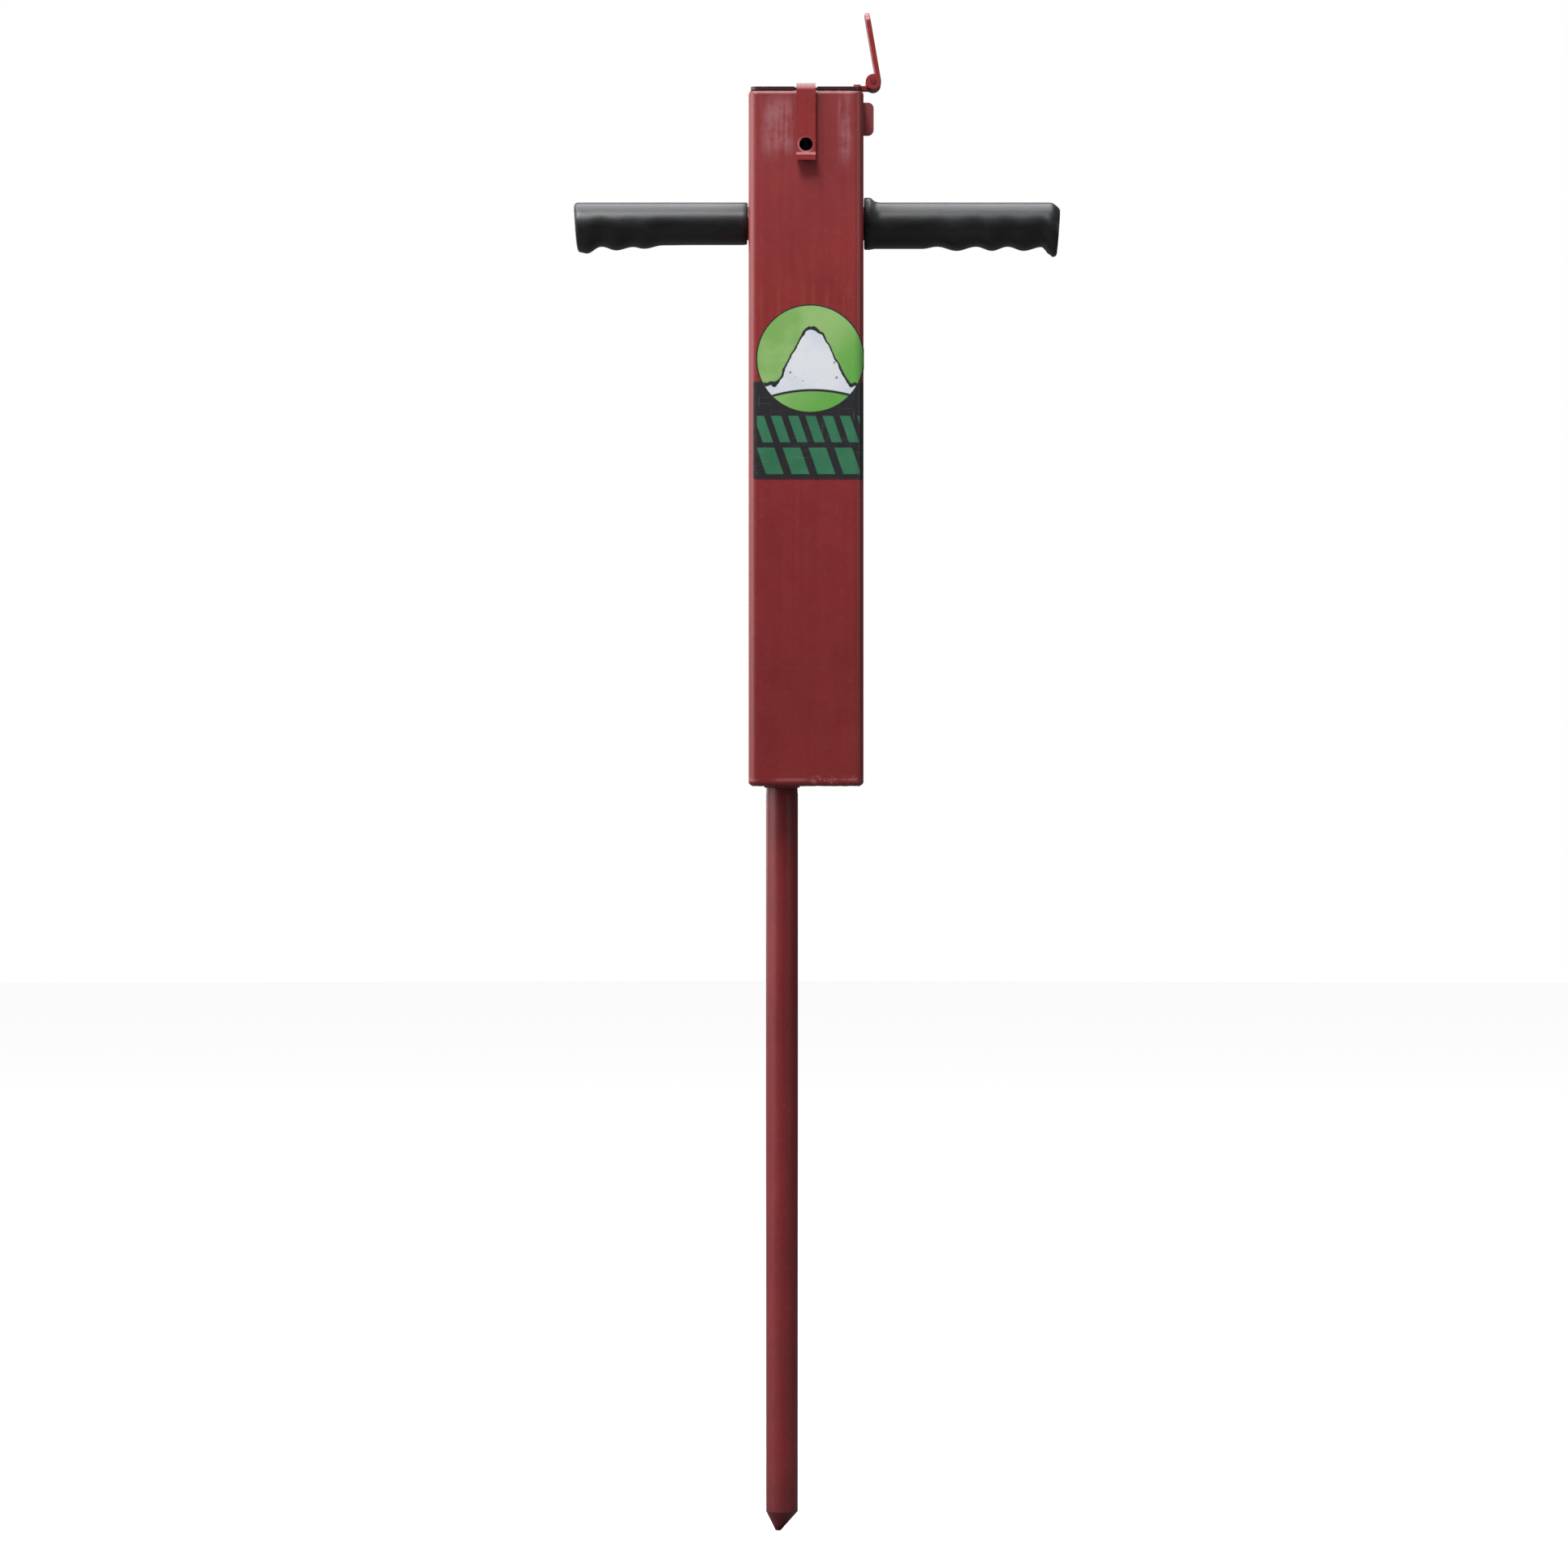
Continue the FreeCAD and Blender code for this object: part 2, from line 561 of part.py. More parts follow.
def guide_tongue(bottom, hole_radius):
    """Bracket on the inner front wall, with a hole for what runs down beside that wall."""
    half = GUIDE_WIDTH / 2
    zs = (bottom, bottom + GUIDE_PLATE)
    foot = block((ROD_X - half, ROD_X + half), (INNER_FRONT, ROD_Y), zs)
    nose = upright(half, ROD_X, ROD_Y, zs)
    inside = block((INNER_LEFT, INNER_RIGHT), (INNER_FRONT, BACK), past(zs))
    return joined([foot, nose.common(inside)]).cut(upright(hole_radius, ROD_X, ROD_Y, past(zs)))


def upper_rod_guide():
    return guide_tongue(GUIDE_Z, ROD_D / 2 + RUN)


def sleeve_bracket():
    return guide_tongue(SLEEVE_BRACKET_Z, SLEEVE_OD / 2 + FIT)


def rod_sleeve():
    """Tube that keeps the bait off the rod between the funnel and the spring."""
    return tube(SLEEVE_OD / 2, SLEEVE_BORE / 2, V(ROD_X, ROD_Y, SLEEVE_BOTTOM), V(ROD_X, ROD_Y, SLEEVE_TOP))


# Metering block and cam

def metering_block():
    body = block((BLOCK_LEFT, BLOCK_RIGHT), (BLOCK_FRONT, -BLOCK_FRONT), BLOCK_Z)
    pocket = upright(DOSE_D / 2, DOSE_X, 0, past(BLOCK_Z))
    holes = [rod(CAM_SCREW_D / 2 + FIT, V(x, BLOCK_FRONT - THROUGH, BLOCK_MID_Z),
                 V(x, BLOCK_FRONT + CAM_SCREW_DEPTH + THROUGH, BLOCK_MID_Z)) for x in CAM_SCREWS_X]
    clear_of_pocket = [hole.cut(upright(DOSE_D / 2 + 2.0, DOSE_X, 0, past(BLOCK_Z))) for hole in holes]
    return body.cut([pocket] + clear_of_pocket)


def cam_slot():
    """Slot at 45 degrees, as long as the stroke calls for."""
    length = STROKE * math.sqrt(2)
    half = FOLLOWER_D / 2 + AIR
    ys = (CAM_FRONT - THROUGH, CAM_BACK + THROUGH)
    ends = [rod(half, V(x, ys[0], 0), V(x, ys[1], 0)) for x in (0, length)]
    slot = joined([block((0, length), ys, (-half, half))] + ends)
    slot.rotate(V(0, 0, 0), Y_AXIS, -45)
    slot.translate(V(ROD_X, 0, FOLLOWER_Z))
    return slot


def cam_plate():
    plate = block(CAM_X, (CAM_FRONT, CAM_BACK), CAM_Z)
    holes = [rod(CAM_SCREW_D / 2 + FIT, V(x, CAM_FRONT - THROUGH, BLOCK_MID_Z),
                 V(x, CAM_BACK + THROUGH, BLOCK_MID_Z)) for x in CAM_SCREWS_X]
    return plate.cut([cam_slot()] + holes)


def cam_spacers():
    return Part.makeCompound([
        tube(SPACER_OD / 2, CAM_SCREW_D / 2 + FIT, V(x, CAM_BACK, BLOCK_MID_Z), V(x, BLOCK_FRONT, BLOCK_MID_Z))
        for x in CAM_SCREWS_X])


def cam_screw(x):
    """Slotted screw from the cam plate into the block."""
    z = BLOCK_MID_Z
    head = rod(CAM_SCREW_HEAD_D / 2, V(x, CAM_FRONT - CAM_SCREW_HEAD, z), V(x, CAM_FRONT, z))
    slot = block((x - CAM_SCREW_HEAD_D, x + CAM_SCREW_HEAD_D),
                 (CAM_FRONT - 2 * CAM_SCREW_HEAD, CAM_FRONT - CAM_SCREW_HEAD / 2), (z - 0.6, z + 0.6))
    depth = CAM_SCREW_DEPTH if abs(x - DOSE_X) > DOSE_D / 2 + CAM_SCREW_D else CAM_SCREW_DEPTH / 3
    shank = rod(CAM_SCREW_D / 2, V(x, CAM_FRONT, z), V(x, BLOCK_FRONT + depth, z))
    return joined([head.cut(slot), shank])


def cam_screws():
    return Part.makeCompound([cam_screw(x) for x in CAM_SCREWS_X])


# Label

def front_label():
    """Film over the front face that wraps a little way round the tube's corners."""
    zs = (LABEL_PANEL_Z[0] - LABEL_DISC_R, LABEL_DISC_Z + 2 * LABEL_DISC_R)
    film = square_prism(TUBE_SIDE + 2 * LABEL_FILM, TUBE_CORNER + LABEL_FILM, zs)
    film = film.cut(square_prism(TUBE_SIDE, TUBE_CORNER, past(zs)))
    disc = rod(LABEL_DISC_R, V(LABEL_DISC_X, FRONT - THROUGH, LABEL_DISC_Z),
               V(LABEL_DISC_X, FRONT + TUBE_CORNER, LABEL_DISC_Z))
    panel = block(LABEL_PANEL_X, (FRONT - THROUGH, FRONT + TUBE_CORNER), LABEL_PANEL_Z)
    return film.common(disc.fuse(panel)).removeSplitter()


PARTS = [
    hopper_tube, bottom_plate, probe_pipe, probe_foot, probe_tip, probe_weld, hopper_funnel, metering_housing,
    handle_bar, handle_welds, left_grip, right_grip, upper_rod_guide, sleeve_bracket, rod_sleeve,
    hinge_leaf, hinge_pin, hasp_keeper, front_label,
    lid_plate, hasp_leaf, hasp_pin, hasp_flap,
    trigger_strap, trigger_rod, follower_pin, spring_collar, collar_pin, return_spring,
    metering_block, cam_plate, cam_spacers, cam_screws,
]


def main():
    os.makedirs("parts", exist_ok=True)
    for make in PARTS:
        shape = make()
        shape.translate(V(0, 0, SHOULDER))
        shape.exportStep("parts/" + make.__name__ + ".step")
        print(make.__name__, len(shape.Solids), shape.isValid(), round(shape.Volume))


main()
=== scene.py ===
import math
import random

import bpy
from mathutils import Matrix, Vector


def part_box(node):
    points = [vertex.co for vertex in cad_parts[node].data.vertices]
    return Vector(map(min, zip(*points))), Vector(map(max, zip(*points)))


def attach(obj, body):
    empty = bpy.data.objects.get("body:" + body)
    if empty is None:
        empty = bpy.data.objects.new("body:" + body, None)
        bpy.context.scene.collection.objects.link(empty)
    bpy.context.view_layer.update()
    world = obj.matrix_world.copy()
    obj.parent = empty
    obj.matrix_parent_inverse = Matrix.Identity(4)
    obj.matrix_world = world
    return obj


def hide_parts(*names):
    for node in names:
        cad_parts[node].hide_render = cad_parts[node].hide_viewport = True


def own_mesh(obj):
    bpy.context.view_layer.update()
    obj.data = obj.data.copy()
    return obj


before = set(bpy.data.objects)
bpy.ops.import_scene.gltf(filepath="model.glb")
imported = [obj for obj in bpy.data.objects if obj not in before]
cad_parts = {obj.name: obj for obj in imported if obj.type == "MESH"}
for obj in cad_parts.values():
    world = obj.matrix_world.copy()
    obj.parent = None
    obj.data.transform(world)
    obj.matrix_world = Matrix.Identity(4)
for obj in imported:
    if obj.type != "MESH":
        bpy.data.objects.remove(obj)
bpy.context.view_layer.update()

# Looks of the hand bait probe: brushed red enamel on the hopper, its lid and its spike, soft black grips,
# a printed film on the front, zinc plated works inside, and a pale studio round it. Metres throughout.

MM = 0.001
SMOOTH_ANGLE = math.radians(38)
EASED_ANGLE = math.radians(40)
FLAT_ANGLE = math.radians(0.4)
MERGE = 0.002 * MM
LOCK_HOLE_X = 15.9 * MM
LOCK_HOLE_Z = 429.0 * MM
chance = random.Random(7)

tube_low, tube_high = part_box("hopper_tube")
strap_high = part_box("trigger_strap")[1]
pipe_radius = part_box("probe_pipe")[1].x
tip_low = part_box("probe_tip")[0]
bar_low, bar_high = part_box("handle_bar")
label_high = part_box("front_label")[1]
lid_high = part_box("lid_plate")[1]
tube_middle = (tube_low + tube_high) / 2
bar_middle = (bar_low + bar_high) / 2


# Hands: short names for what the modelling does again and again

def only(piece):
    """Select one piece and nothing else."""
    bpy.ops.object.select_all(action="DESELECT")
    piece.select_set(True)
    bpy.context.view_layer.objects.active = piece


def edit(piece):
    only(piece)
    bpy.ops.object.mode_set(mode="EDIT")


def leave_edit():
    bpy.ops.object.mode_set(mode="OBJECT")


def settle(piece, name):
    """Name a new piece and put its place into its mesh."""
    only(piece)
    piece.name = name
    piece.data.name = name
    bpy.ops.object.transform_apply(location=True, rotation=True, scale=True)
    return piece


def apply(piece, kind, **settings):
    """Add a modifier with these settings and apply it."""
    only(piece)
    modifier = piece.modifiers.new(kind.title(), kind)
    for key, value in settings.items():
        setattr(modifier, key, value)
    bpy.ops.object.modifier_apply(modifier=modifier.name)


def outward(piece):
    """Merge what touches and turn every face outwards."""
    edit(piece)
    bpy.ops.mesh.select_all(action="SELECT")
    bpy.ops.mesh.remove_doubles(threshold=MERGE)
    bpy.ops.mesh.normals_make_consistent(inside=False)
    leave_edit()


def smooth(piece):
    only(piece)
    bpy.ops.object.shade_smooth_by_angle(angle=SMOOTH_ANGLE)


def cad_copy(node, name):
    """A merged copy of a CAD part, free to be shaped."""
    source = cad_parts[node]
    piece = bpy.data.objects.new(name, source.data.copy())
    piece.data.name = name
    bpy.context.scene.collection.objects.link(piece)
    piece.data.materials.clear()
    edit(piece)
    bpy.ops.mesh.customdata_custom_splitnormals_clear()
    bpy.ops.mesh.select_all(action="SELECT")
    bpy.ops.mesh.remove_doubles(threshold=MERGE)
    bpy.ops.mesh.dissolve_limited(angle_limit=FLAT_ANGLE)
    leave_edit()
    return piece


def finish_piece(piece, body, slot, coat, *nodes):
    """Give a piece its coat, and tie it to its body and the CAD parts that it stands for. The slot is not
    used.
    """
    piece.data.materials.clear()
    piece.data.materials.append(coat)
    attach(piece, body)
    if nodes:
        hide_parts(*nodes)


def softened(node, name, body, slot, coat, width, segments=3):
    """A CAD part with its sharp edges eased, as paint or tumbling leaves them."""
    piece = cad_copy(node, name)
    apply(piece, "BEVEL", width=width * MM, segments=segments, limit_method="ANGLE",
          angle_limit=EASED_ANGLE, use_clamp_overlap=True)
    smooth(piece)
    apply(piece, "WEIGHTED_NORMAL", keep_sharp=True)
    finish_piece(piece, body, slot, coat, node)
    return piece


# Node trees

class Sheet:
    """A node tree being laid out."""

    def __init__(self, tree):
        self.tree = tree

    def feed(self, socket, value):
        if isinstance(value, bpy.types.NodeSocket):
            self.tree.links.new(value, socket)
        else:
            socket.default_value = value

    def node(self, kind, inputs=(), **settings):
        made = self.tree.nodes.new("ShaderNode" + kind)
        for key, value in settings.items():
            setattr(made, key, value)
        for key, value in dict(inputs).items():
            self.feed(made.inputs[key], value)
        return made

    def maths(self, operation, *values, clamp=False):
        return self.node("Math", enumerate(values), operation=operation, use_clamp=clamp).outputs[0]

    def where(self):
        return self.node("TexCoord").outputs["Object"]

    def scaled(self, vector, scale):
        return self.node("VectorMath", {0: vector, 1: scale}, operation="MULTIPLY").outputs[0]

    def noise(self, vector, scale, detail=3.0, roughness=0.55):
        inputs = {"Vector": vector, "Scale": scale, "Detail": detail, "Roughness": roughness}
        return self.node("TexNoise", inputs).outputs["Fac"]

    def fade(self, value, start, end, low=0.0, high=1.0):
        inputs = {0: value, 1: start, 2: end, 3: low, 4: high}
        return self.node("MapRange", inputs, interpolation_type="SMOOTHSTEP").outputs[0]

    def mix(self, factor, a, b, blend="MIX"):
        return self.node("Mix", {0: factor, 6: a, 7: b}, data_type="RGBA", blend_type=blend).outputs[2]

    def bump(self, height, distance, strength=1.0):
        inputs = {"Height": height, "Distance": distance, "Strength": strength}
        return self.node("Bump", inputs).outputs[0]

    def group(self, tree, **inputs):
        made = self.tree.nodes.new("ShaderNodeGroup")
        made.node_tree = tree
        for key, value in inputs.items():
            self.feed(made.inputs[key.replace("_", " ").capitalize()], value)
        return made.outputs

    def distance(self, u, v):
        """Distance from a centre, from the offsets along two axes."""
        squares = [self.maths("MULTIPLY", offset, offset) for offset in (u, v)]
        return self.maths("SQRT", self.maths("ADD", *squares))

    def band(self, value, low, high, soft):
        """One between two limits, fading to nought outside them."""
        rise = self.fade(value, low - soft, low + soft)
        fall = self.fade(value, high - soft, high + soft, 1.0, 0.0)
        return self.maths("MULTIPLY", rise, fall)


def new_group(name, inputs, outputs):
    """A node group with named float or colour sockets; returns its sheet, its inputs and its output node."""
    tree = bpy.data.node_groups.new(name, "ShaderNodeTree")
    for key, value in inputs.items():
        kind = "NodeSocketFloat" if isinstance(value, float) else "NodeSocketColor"
        tree.interface.new_socket(key, in_out="INPUT", socket_type=kind).default_value = value
    for key, kind in outputs.items():
        tree.interface.new_socket(key, in_out="OUTPUT", socket_type="NodeSocket" + kind)
    sheet = Sheet(tree)
    given = tree.nodes.new("NodeGroupInput").outputs
    out = tree.nodes.new("NodeGroupOutput").inputs
    return sheet, given, out


def coat_material(name, **constants):
    """A material with these values set on its shader; returns it with its sheet and its shader."""
    material = bpy.data.materials.new(name)
    material.use_nodes = True
    shader = material.node_tree.nodes["Principled BSDF"]
    for key, value in constants.items():
        shader.inputs[key.replace("_", " ").title().replace("Ior", "IOR")].default_value = value
    return material, Sheet(material.node_tree), shader


# Shared effects

def make_edge_rub():
    """Mask of the outer edges, broken up as handling rubs them."""
    sheet, given, out = new_group("edge rub", {"Radius": 1.0 * MM, "Cover": 0.5, "Grain": 400.0},
                                  {"Mask": "Float"})
    round_normal = sheet.node("Bevel", {"Radius": given["Radius"]}, samples=4).outputs[0]
    true_normal = sheet.node("NewGeometry").outputs["Normal"]
    both = {0: round_normal, 1: true_normal}
    facing = sheet.node("VectorMath", both, operation="DOT_PRODUCT").outputs["Value"]
    edge = sheet.fade(facing, 0.99, 0.86)
    patchy = sheet.noise(sheet.where(), given["Grain"], 4.0, 0.65)
    limit = sheet.maths("SUBTRACT", 1.0, given["Cover"])
    over = sheet.maths("SUBTRACT", patchy, sheet.maths("MULTIPLY_ADD", limit, 0.5, 0.25))
    broken = sheet.fade(over, -0.03, 0.08)
    sheet.feed(out["Mask"], sheet.maths("MULTIPLY", edge, broken))
    return sheet.tree


def make_brushed_film():
    """Tone, roughness and height of enamel that was brushed on lengthways and has weathered a little."""
    sheet, given, out = new_group("brushed film", {"Streak": 1.0, "Cloud": 1.0},
                                  {"Tone": "Float", "Roughness": "Float", "Height": "Float"})
    here = sheet.where()
    cloud = sheet.noise(here, 16.0, 3.0)
    fine_cloud = sheet.noise(here, 75.0, 4.0, 0.6)
    streak = sheet.noise(sheet.scaled(here, (300.0, 300.0, 7.0)), 1.0, 4.0, 0.6)
    hair = sheet.noise(sheet.scaled(here, (1700.0, 1700.0, 40.0)), 1.0, 2.0)
    peel = sheet.noise(here, 520.0, 2.0)
    nib = sheet.fade(sheet.noise(here, 900.0, 1.0), 0.74, 0.80)
    broad = sheet.maths("MULTIPLY", sheet.maths("SUBTRACT", cloud, 0.5), given["Cloud"])
    lines = sheet.maths("MULTIPLY", sheet.maths("SUBTRACT", streak, 0.5), given["Streak"])
    clouded = sheet.maths("MULTIPLY_ADD", broad, 0.55, 1.0)
    tone = sheet.maths("ADD", clouded, sheet.maths("MULTIPLY", lines, 0.32))
    tone = sheet.maths("MULTIPLY_ADD", sheet.maths("SUBTRACT", fine_cloud, 0.5), 0.16, tone)
    sheet.feed(out["Tone"], tone)
    rough = sheet.maths("MULTIPLY_ADD", fine_cloud, 0.16, 0.27)
    sheet.feed(out["Roughness"], sheet.maths("MULTIPLY_ADD", streak, 0.10, rough))
    height = sheet.maths("MULTIPLY_ADD", hair, 0.35, sheet.maths("MULTIPLY", peel, 0.5))
    height = sheet.maths("ADD", height, sheet.maths("MULTIPLY", streak, 0.7))
    sheet.feed(out["Height"], sheet.maths("ADD", height, sheet.maths("MULTIPLY", nib, 0.9)))
    return sheet.tree


def make_dust():
    """Mask of faint dust and dried drips, heavier on faces that look up."""
    sheet, given, out = new_group("settled dust", {"Amount": 0.3}, {"Mask": "Float"})
    here = sheet.where()
    speck = sheet.fade(sheet.noise(here, 260.0, 5.0, 0.7), 0.52, 0.78)
    up = sheet.node("SeparateXYZ", {0: sheet.node("NewGeometry").outputs["Normal"]}).outputs["Z"]
    lying = sheet.fade(up, 0.1, 0.95, 0.12, 1.0)
    sheet.feed(out["Mask"], sheet.maths("MULTIPLY", sheet.maths("MULTIPLY", speck, lying), given["Amount"]))
    return sheet.tree


def make_scratches():
    """Fine scratches in two directions, as a mask."""
    sheet, given, out = new_group("fine scratches", {"Amount": 0.5}, {"Mask": "Float"})
    here = sheet.where()
    one = sheet.noise(sheet.scaled(here, (60.0, 60.0, 1900.0)), 1.0, 2.0)
    two = sheet.noise(sheet.scaled(here, (1500.0, 1500.0, 45.0)), 1.0, 2.0)
    lines = sheet.maths("MAXIMUM", sheet.fade(one, 0.62, 0.70), sheet.fade(two, 0.64, 0.72))
    patch = sheet.fade(sheet.noise(here, 30.0, 2.0), 0.42, 0.62)
    sheet.feed(out["Mask"], sheet.maths("MULTIPLY", sheet.maths("MULTIPLY", lines, patch), given["Amount"]))
    return sheet.tree


EDGE_RUB = make_edge_rub()
BRUSHED_FILM = make_brushed_film()
DUST = make_dust()
SCRATCHES = make_scratches()

RED = (0.238, 0.0205, 0.0215, 1.0)
FITTING_TONE = (0.245, 0.0205, 0.0225, 1.0)
# Painted shade for the hopper's lower end.
LOW_PAINTED_SHADE = (0.190, 0.0150, 0.0165, 1.0)
# Chalky worn enamel, also used for painted light and painted highlights.
CHALK_AND_PAINTED_LIGHT = (0.38, 0.155, 0.175, 1.0)
RUBBED_RED = (0.42, 0.13, 0.13, 1.0)
SCUFFED_RED = (0.48, 0.24, 0.23, 1.0)
PRIMER = (0.20, 0.13, 0.12, 1.0)
DUST_GREY = (0.42, 0.37, 0.34, 1.0)
GLUE_BROWN = (0.270, 0.062, 0.026, 1.0)
# Painted shade along the hopper's rim under the lid.
RIM_PAINTED_SHADE = (0.085, 0.0090, 0.0110, 1.0)
# Painted shade in the strap's bend.
BEND_PAINTED_SHADE = (0.040, 0.010, 0.012, 1.0)
# Painted shade on the lid's cut edges.
LID_EDGE_PAINTED_SHADE = (0.030, 0.010, 0.012, 1.0)
POINT_DARKENING = (0.055, 0.010, 0.014, 1.0)
BLACK_VINYL = (0.0045, 0.0048, 0.0058, 1.0)
BLOOMED_VINYL = (0.0105, 0.0112, 0.0130, 1.0)
SCRATCHED_VINYL = (0.05, 0.05, 0.055, 1.0)
DUSTY_VINYL = (0.16, 0.16, 0.17, 1.0)
STEEL_DUST = (0.30, 0.27, 0.23, 1.0)
CLEAN_ACETAL = (0.78, 0.76, 0.70, 1.0)
GRIMY_ACETAL = (0.52, 0.47, 0.38, 1.0)


def enamel(name, colour, rub=0.45, rub_radius=0.9, cloud=1.0, marks=None):
    """Brushed enamel. marks adds what only one part has, as (mask, colour) pairs."""
    material, sheet, shader = coat_material(name, coat_weight=0.25, coat_roughness=0.22)
    film = sheet.group(BRUSHED_FILM, streak=1.0, cloud=cloud)
    grey = sheet.node("CombineColor", {channel: film["Tone"] for channel in range(3)}).outputs[0]
    toned = sheet.mix(1.0, colour, grey, "MULTIPLY")
    for mask, tint in (marks(sheet) if marks else ()):
        toned = sheet.mix(mask, toned, tint)
    worn = sheet.group(EDGE_RUB, radius=rub_radius * MM, cover=rub, grain=330.0)["Mask"]
    toned = sheet.mix(sheet.maths("MULTIPLY", worn, 0.55), toned, RUBBED_RED)
    bare = sheet.group(EDGE_RUB, radius=0.5 * rub_radius * MM, cover=rub * 0.35, grain=700.0)["Mask"]
    toned = sheet.mix(sheet.maths("MULTIPLY", bare, 0.8), toned, PRIMER)
    dust = sheet.group(DUST, amount=0.35)["Mask"]
    toned = sheet.mix(dust, toned, DUST_GREY)
    sheet.feed(shader.inputs["Base Color"], toned)
    rough = sheet.maths("ADD", film["Roughness"], sheet.maths("MULTIPLY", worn, 0.15))
    sheet.feed(shader.inputs["Roughness"], sheet.maths("MULTIPLY_ADD", dust, 0.4, rough))
    sheet.feed(shader.inputs["Normal"], sheet.bump(film["Height"], 0.09 * MM, 0.8))
    return material


def hopper_marks(sheet):
    """Chalky patches that also paint highlights, painted shade along the rim under the lid, old glue above
    the label, painted light towards the top, painted shade towards the lower end, a scuffed rim.
    """
    here = sheet.where()
    x, _, z = sheet.node("SeparateXYZ", {0: here}).outputs
    rim = tube_high.z
    ragged = sheet.noise(here, 95.0, 4.0, 0.6)
    streaky = sheet.noise(sheet.scaled(here, (420.0, 420.0, 18.0)), 1.0, 3.0)
    mixed = sheet.maths("MULTIPLY_ADD", streaky, 0.5, sheet.maths("MULTIPLY", ragged, 0.6))
    uneven = sheet.fade(mixed, 0.40, 0.66)
    # Chalky patches of worn enamel near the top, which also stand in for painted highlights.
    left_patch = sheet.maths("MULTIPLY", sheet.band(x, -12.0 * MM, 7.0 * MM, 4.0 * MM),
                             sheet.band(z, rim - 42.0 * MM, rim - 6.0 * MM, 9.0 * MM))
    right_patch = sheet.maths("MULTIPLY", sheet.band(x, 38.0 * MM, 45.5 * MM, 2.5 * MM),
                              sheet.band(z, rim - 44.0 * MM, rim - 1.0 * MM, 12.0 * MM))
    chalk_and_highlight = sheet.maths("MAXIMUM", left_patch, sheet.maths("MULTIPLY", right_patch, 1.1), clamp=True)
    # Painted light paler towards the top, and painted shade darker towards the lower end.
    upper = sheet.fade(z, rim - 160.0 * MM, rim - 10.0 * MM, 0.0, 0.07)
    lower = sheet.fade(z, tube_low.z, tube_low.z + 260.0 * MM, 0.55, 0.0)
    foot = tube_low.z
    chips = sheet.fade(sheet.noise(here, 330.0, 4.0, 0.7), 0.50, 0.62)
    scuffed = sheet.maths("MULTIPLY", sheet.band(z, foot + 1.5 * MM, foot + 6.0 * MM, 1.6 * MM),
                          sheet.band(x, 20.0 * MM, 51.0 * MM, 3.0 * MM))
    line = sheet.maths("MULTIPLY", sheet.band(z, foot + 3.2 * MM, foot + 4.6 * MM, 1.0 * MM),
                       sheet.fade(ragged, 0.42, 0.60))
    chipped = sheet.maths("MULTIPLY", scuffed, chips)
    scuffs = sheet.maths("MAXIMUM", chipped, sheet.maths("MULTIPLY", line, 0.45))
    # Painted shade along the rim, under the lid.
    rim_painted_shade = sheet.fade(z, rim - 2.4 * MM, rim - 0.5 * MM, 0.0, 0.75)
    drips = sheet.fade(sheet.noise(sheet.scaled(here, (260.0, 260.0, 25.0)), 1.0, 3.0), 0.48, 0.66)
    near_label = sheet.band(z, label_high.z - 12.0 * MM, label_high.z + 16.0 * MM, 9.0 * MM)
    residue = sheet.maths("MULTIPLY", drips, near_label)
    return [
        (lower, LOW_PAINTED_SHADE),
        (upper, CHALK_AND_PAINTED_LIGHT),
        (sheet.maths("MULTIPLY", residue, 0.38), GLUE_BROWN),
        (rim_painted_shade, RIM_PAINTED_SHADE),
        (sheet.maths("MULTIPLY", sheet.maths("MULTIPLY", chalk_and_highlight, uneven), 0.62), CHALK_AND_PAINTED_LIGHT),
        (sheet.maths("MULTIPLY", scuffs, 0.75), SCUFFED_RED),
    ]


def spike_marks(sheet):
    """Long rub marks, and the paint darker towards the point."""
    here = sheet.where()
    z = sheet.node("SeparateXYZ", {0: here}).outputs["Z"]
    rubs = sheet.fade(sheet.noise(sheet.scaled(here, (500.0, 500.0, 9.0)), 1.0, 3.0), 0.60, 0.72)
    darker_point = sheet.fade(z, tip_low.z + 60.0 * MM, tip_low.z + 8.0 * MM, 0.0, 0.45)
    blotch = sheet.fade(sheet.noise(here, 120.0, 4.0), 0.3, 0.7, 0.4, 1.0)
    return [
        (sheet.maths("MULTIPLY", rubs, 0.10), RUBBED_RED),
        (sheet.maths("MULTIPLY", darker_point, blotch), POINT_DARKENING),
    ]


def lid_marks(sheet):
    """Painted shade on the cut edges, but for a thin line of plain enamel along their top."""
    places = sheet.node("TexCoord").outputs
    up = sheet.node("SeparateXYZ", {0: places["Normal"]}).outputs["Z"]
    z = sheet.node("SeparateXYZ", {0: places["Object"]}).outputs["Z"]
    # Painted shade: the cut edges are darkened below a thin line along their top.
    edge = sheet.fade(sheet.maths("ABSOLUTE", up), 0.90, 0.55)
    below_top = sheet.fade(z, lid_high.z - 0.15 * MM, lid_high.z - 0.55 * MM)
    patchy = sheet.fade(sheet.noise(sheet.where(), 60.0, 3.0), 0.25, 0.6, 0.82, 1.0)
    painted_edge_shade = sheet.maths("MULTIPLY", sheet.maths("MULTIPLY", edge, below_top), patchy)
    return [(painted_edge_shade, LID_EDGE_PAINTED_SHADE)]


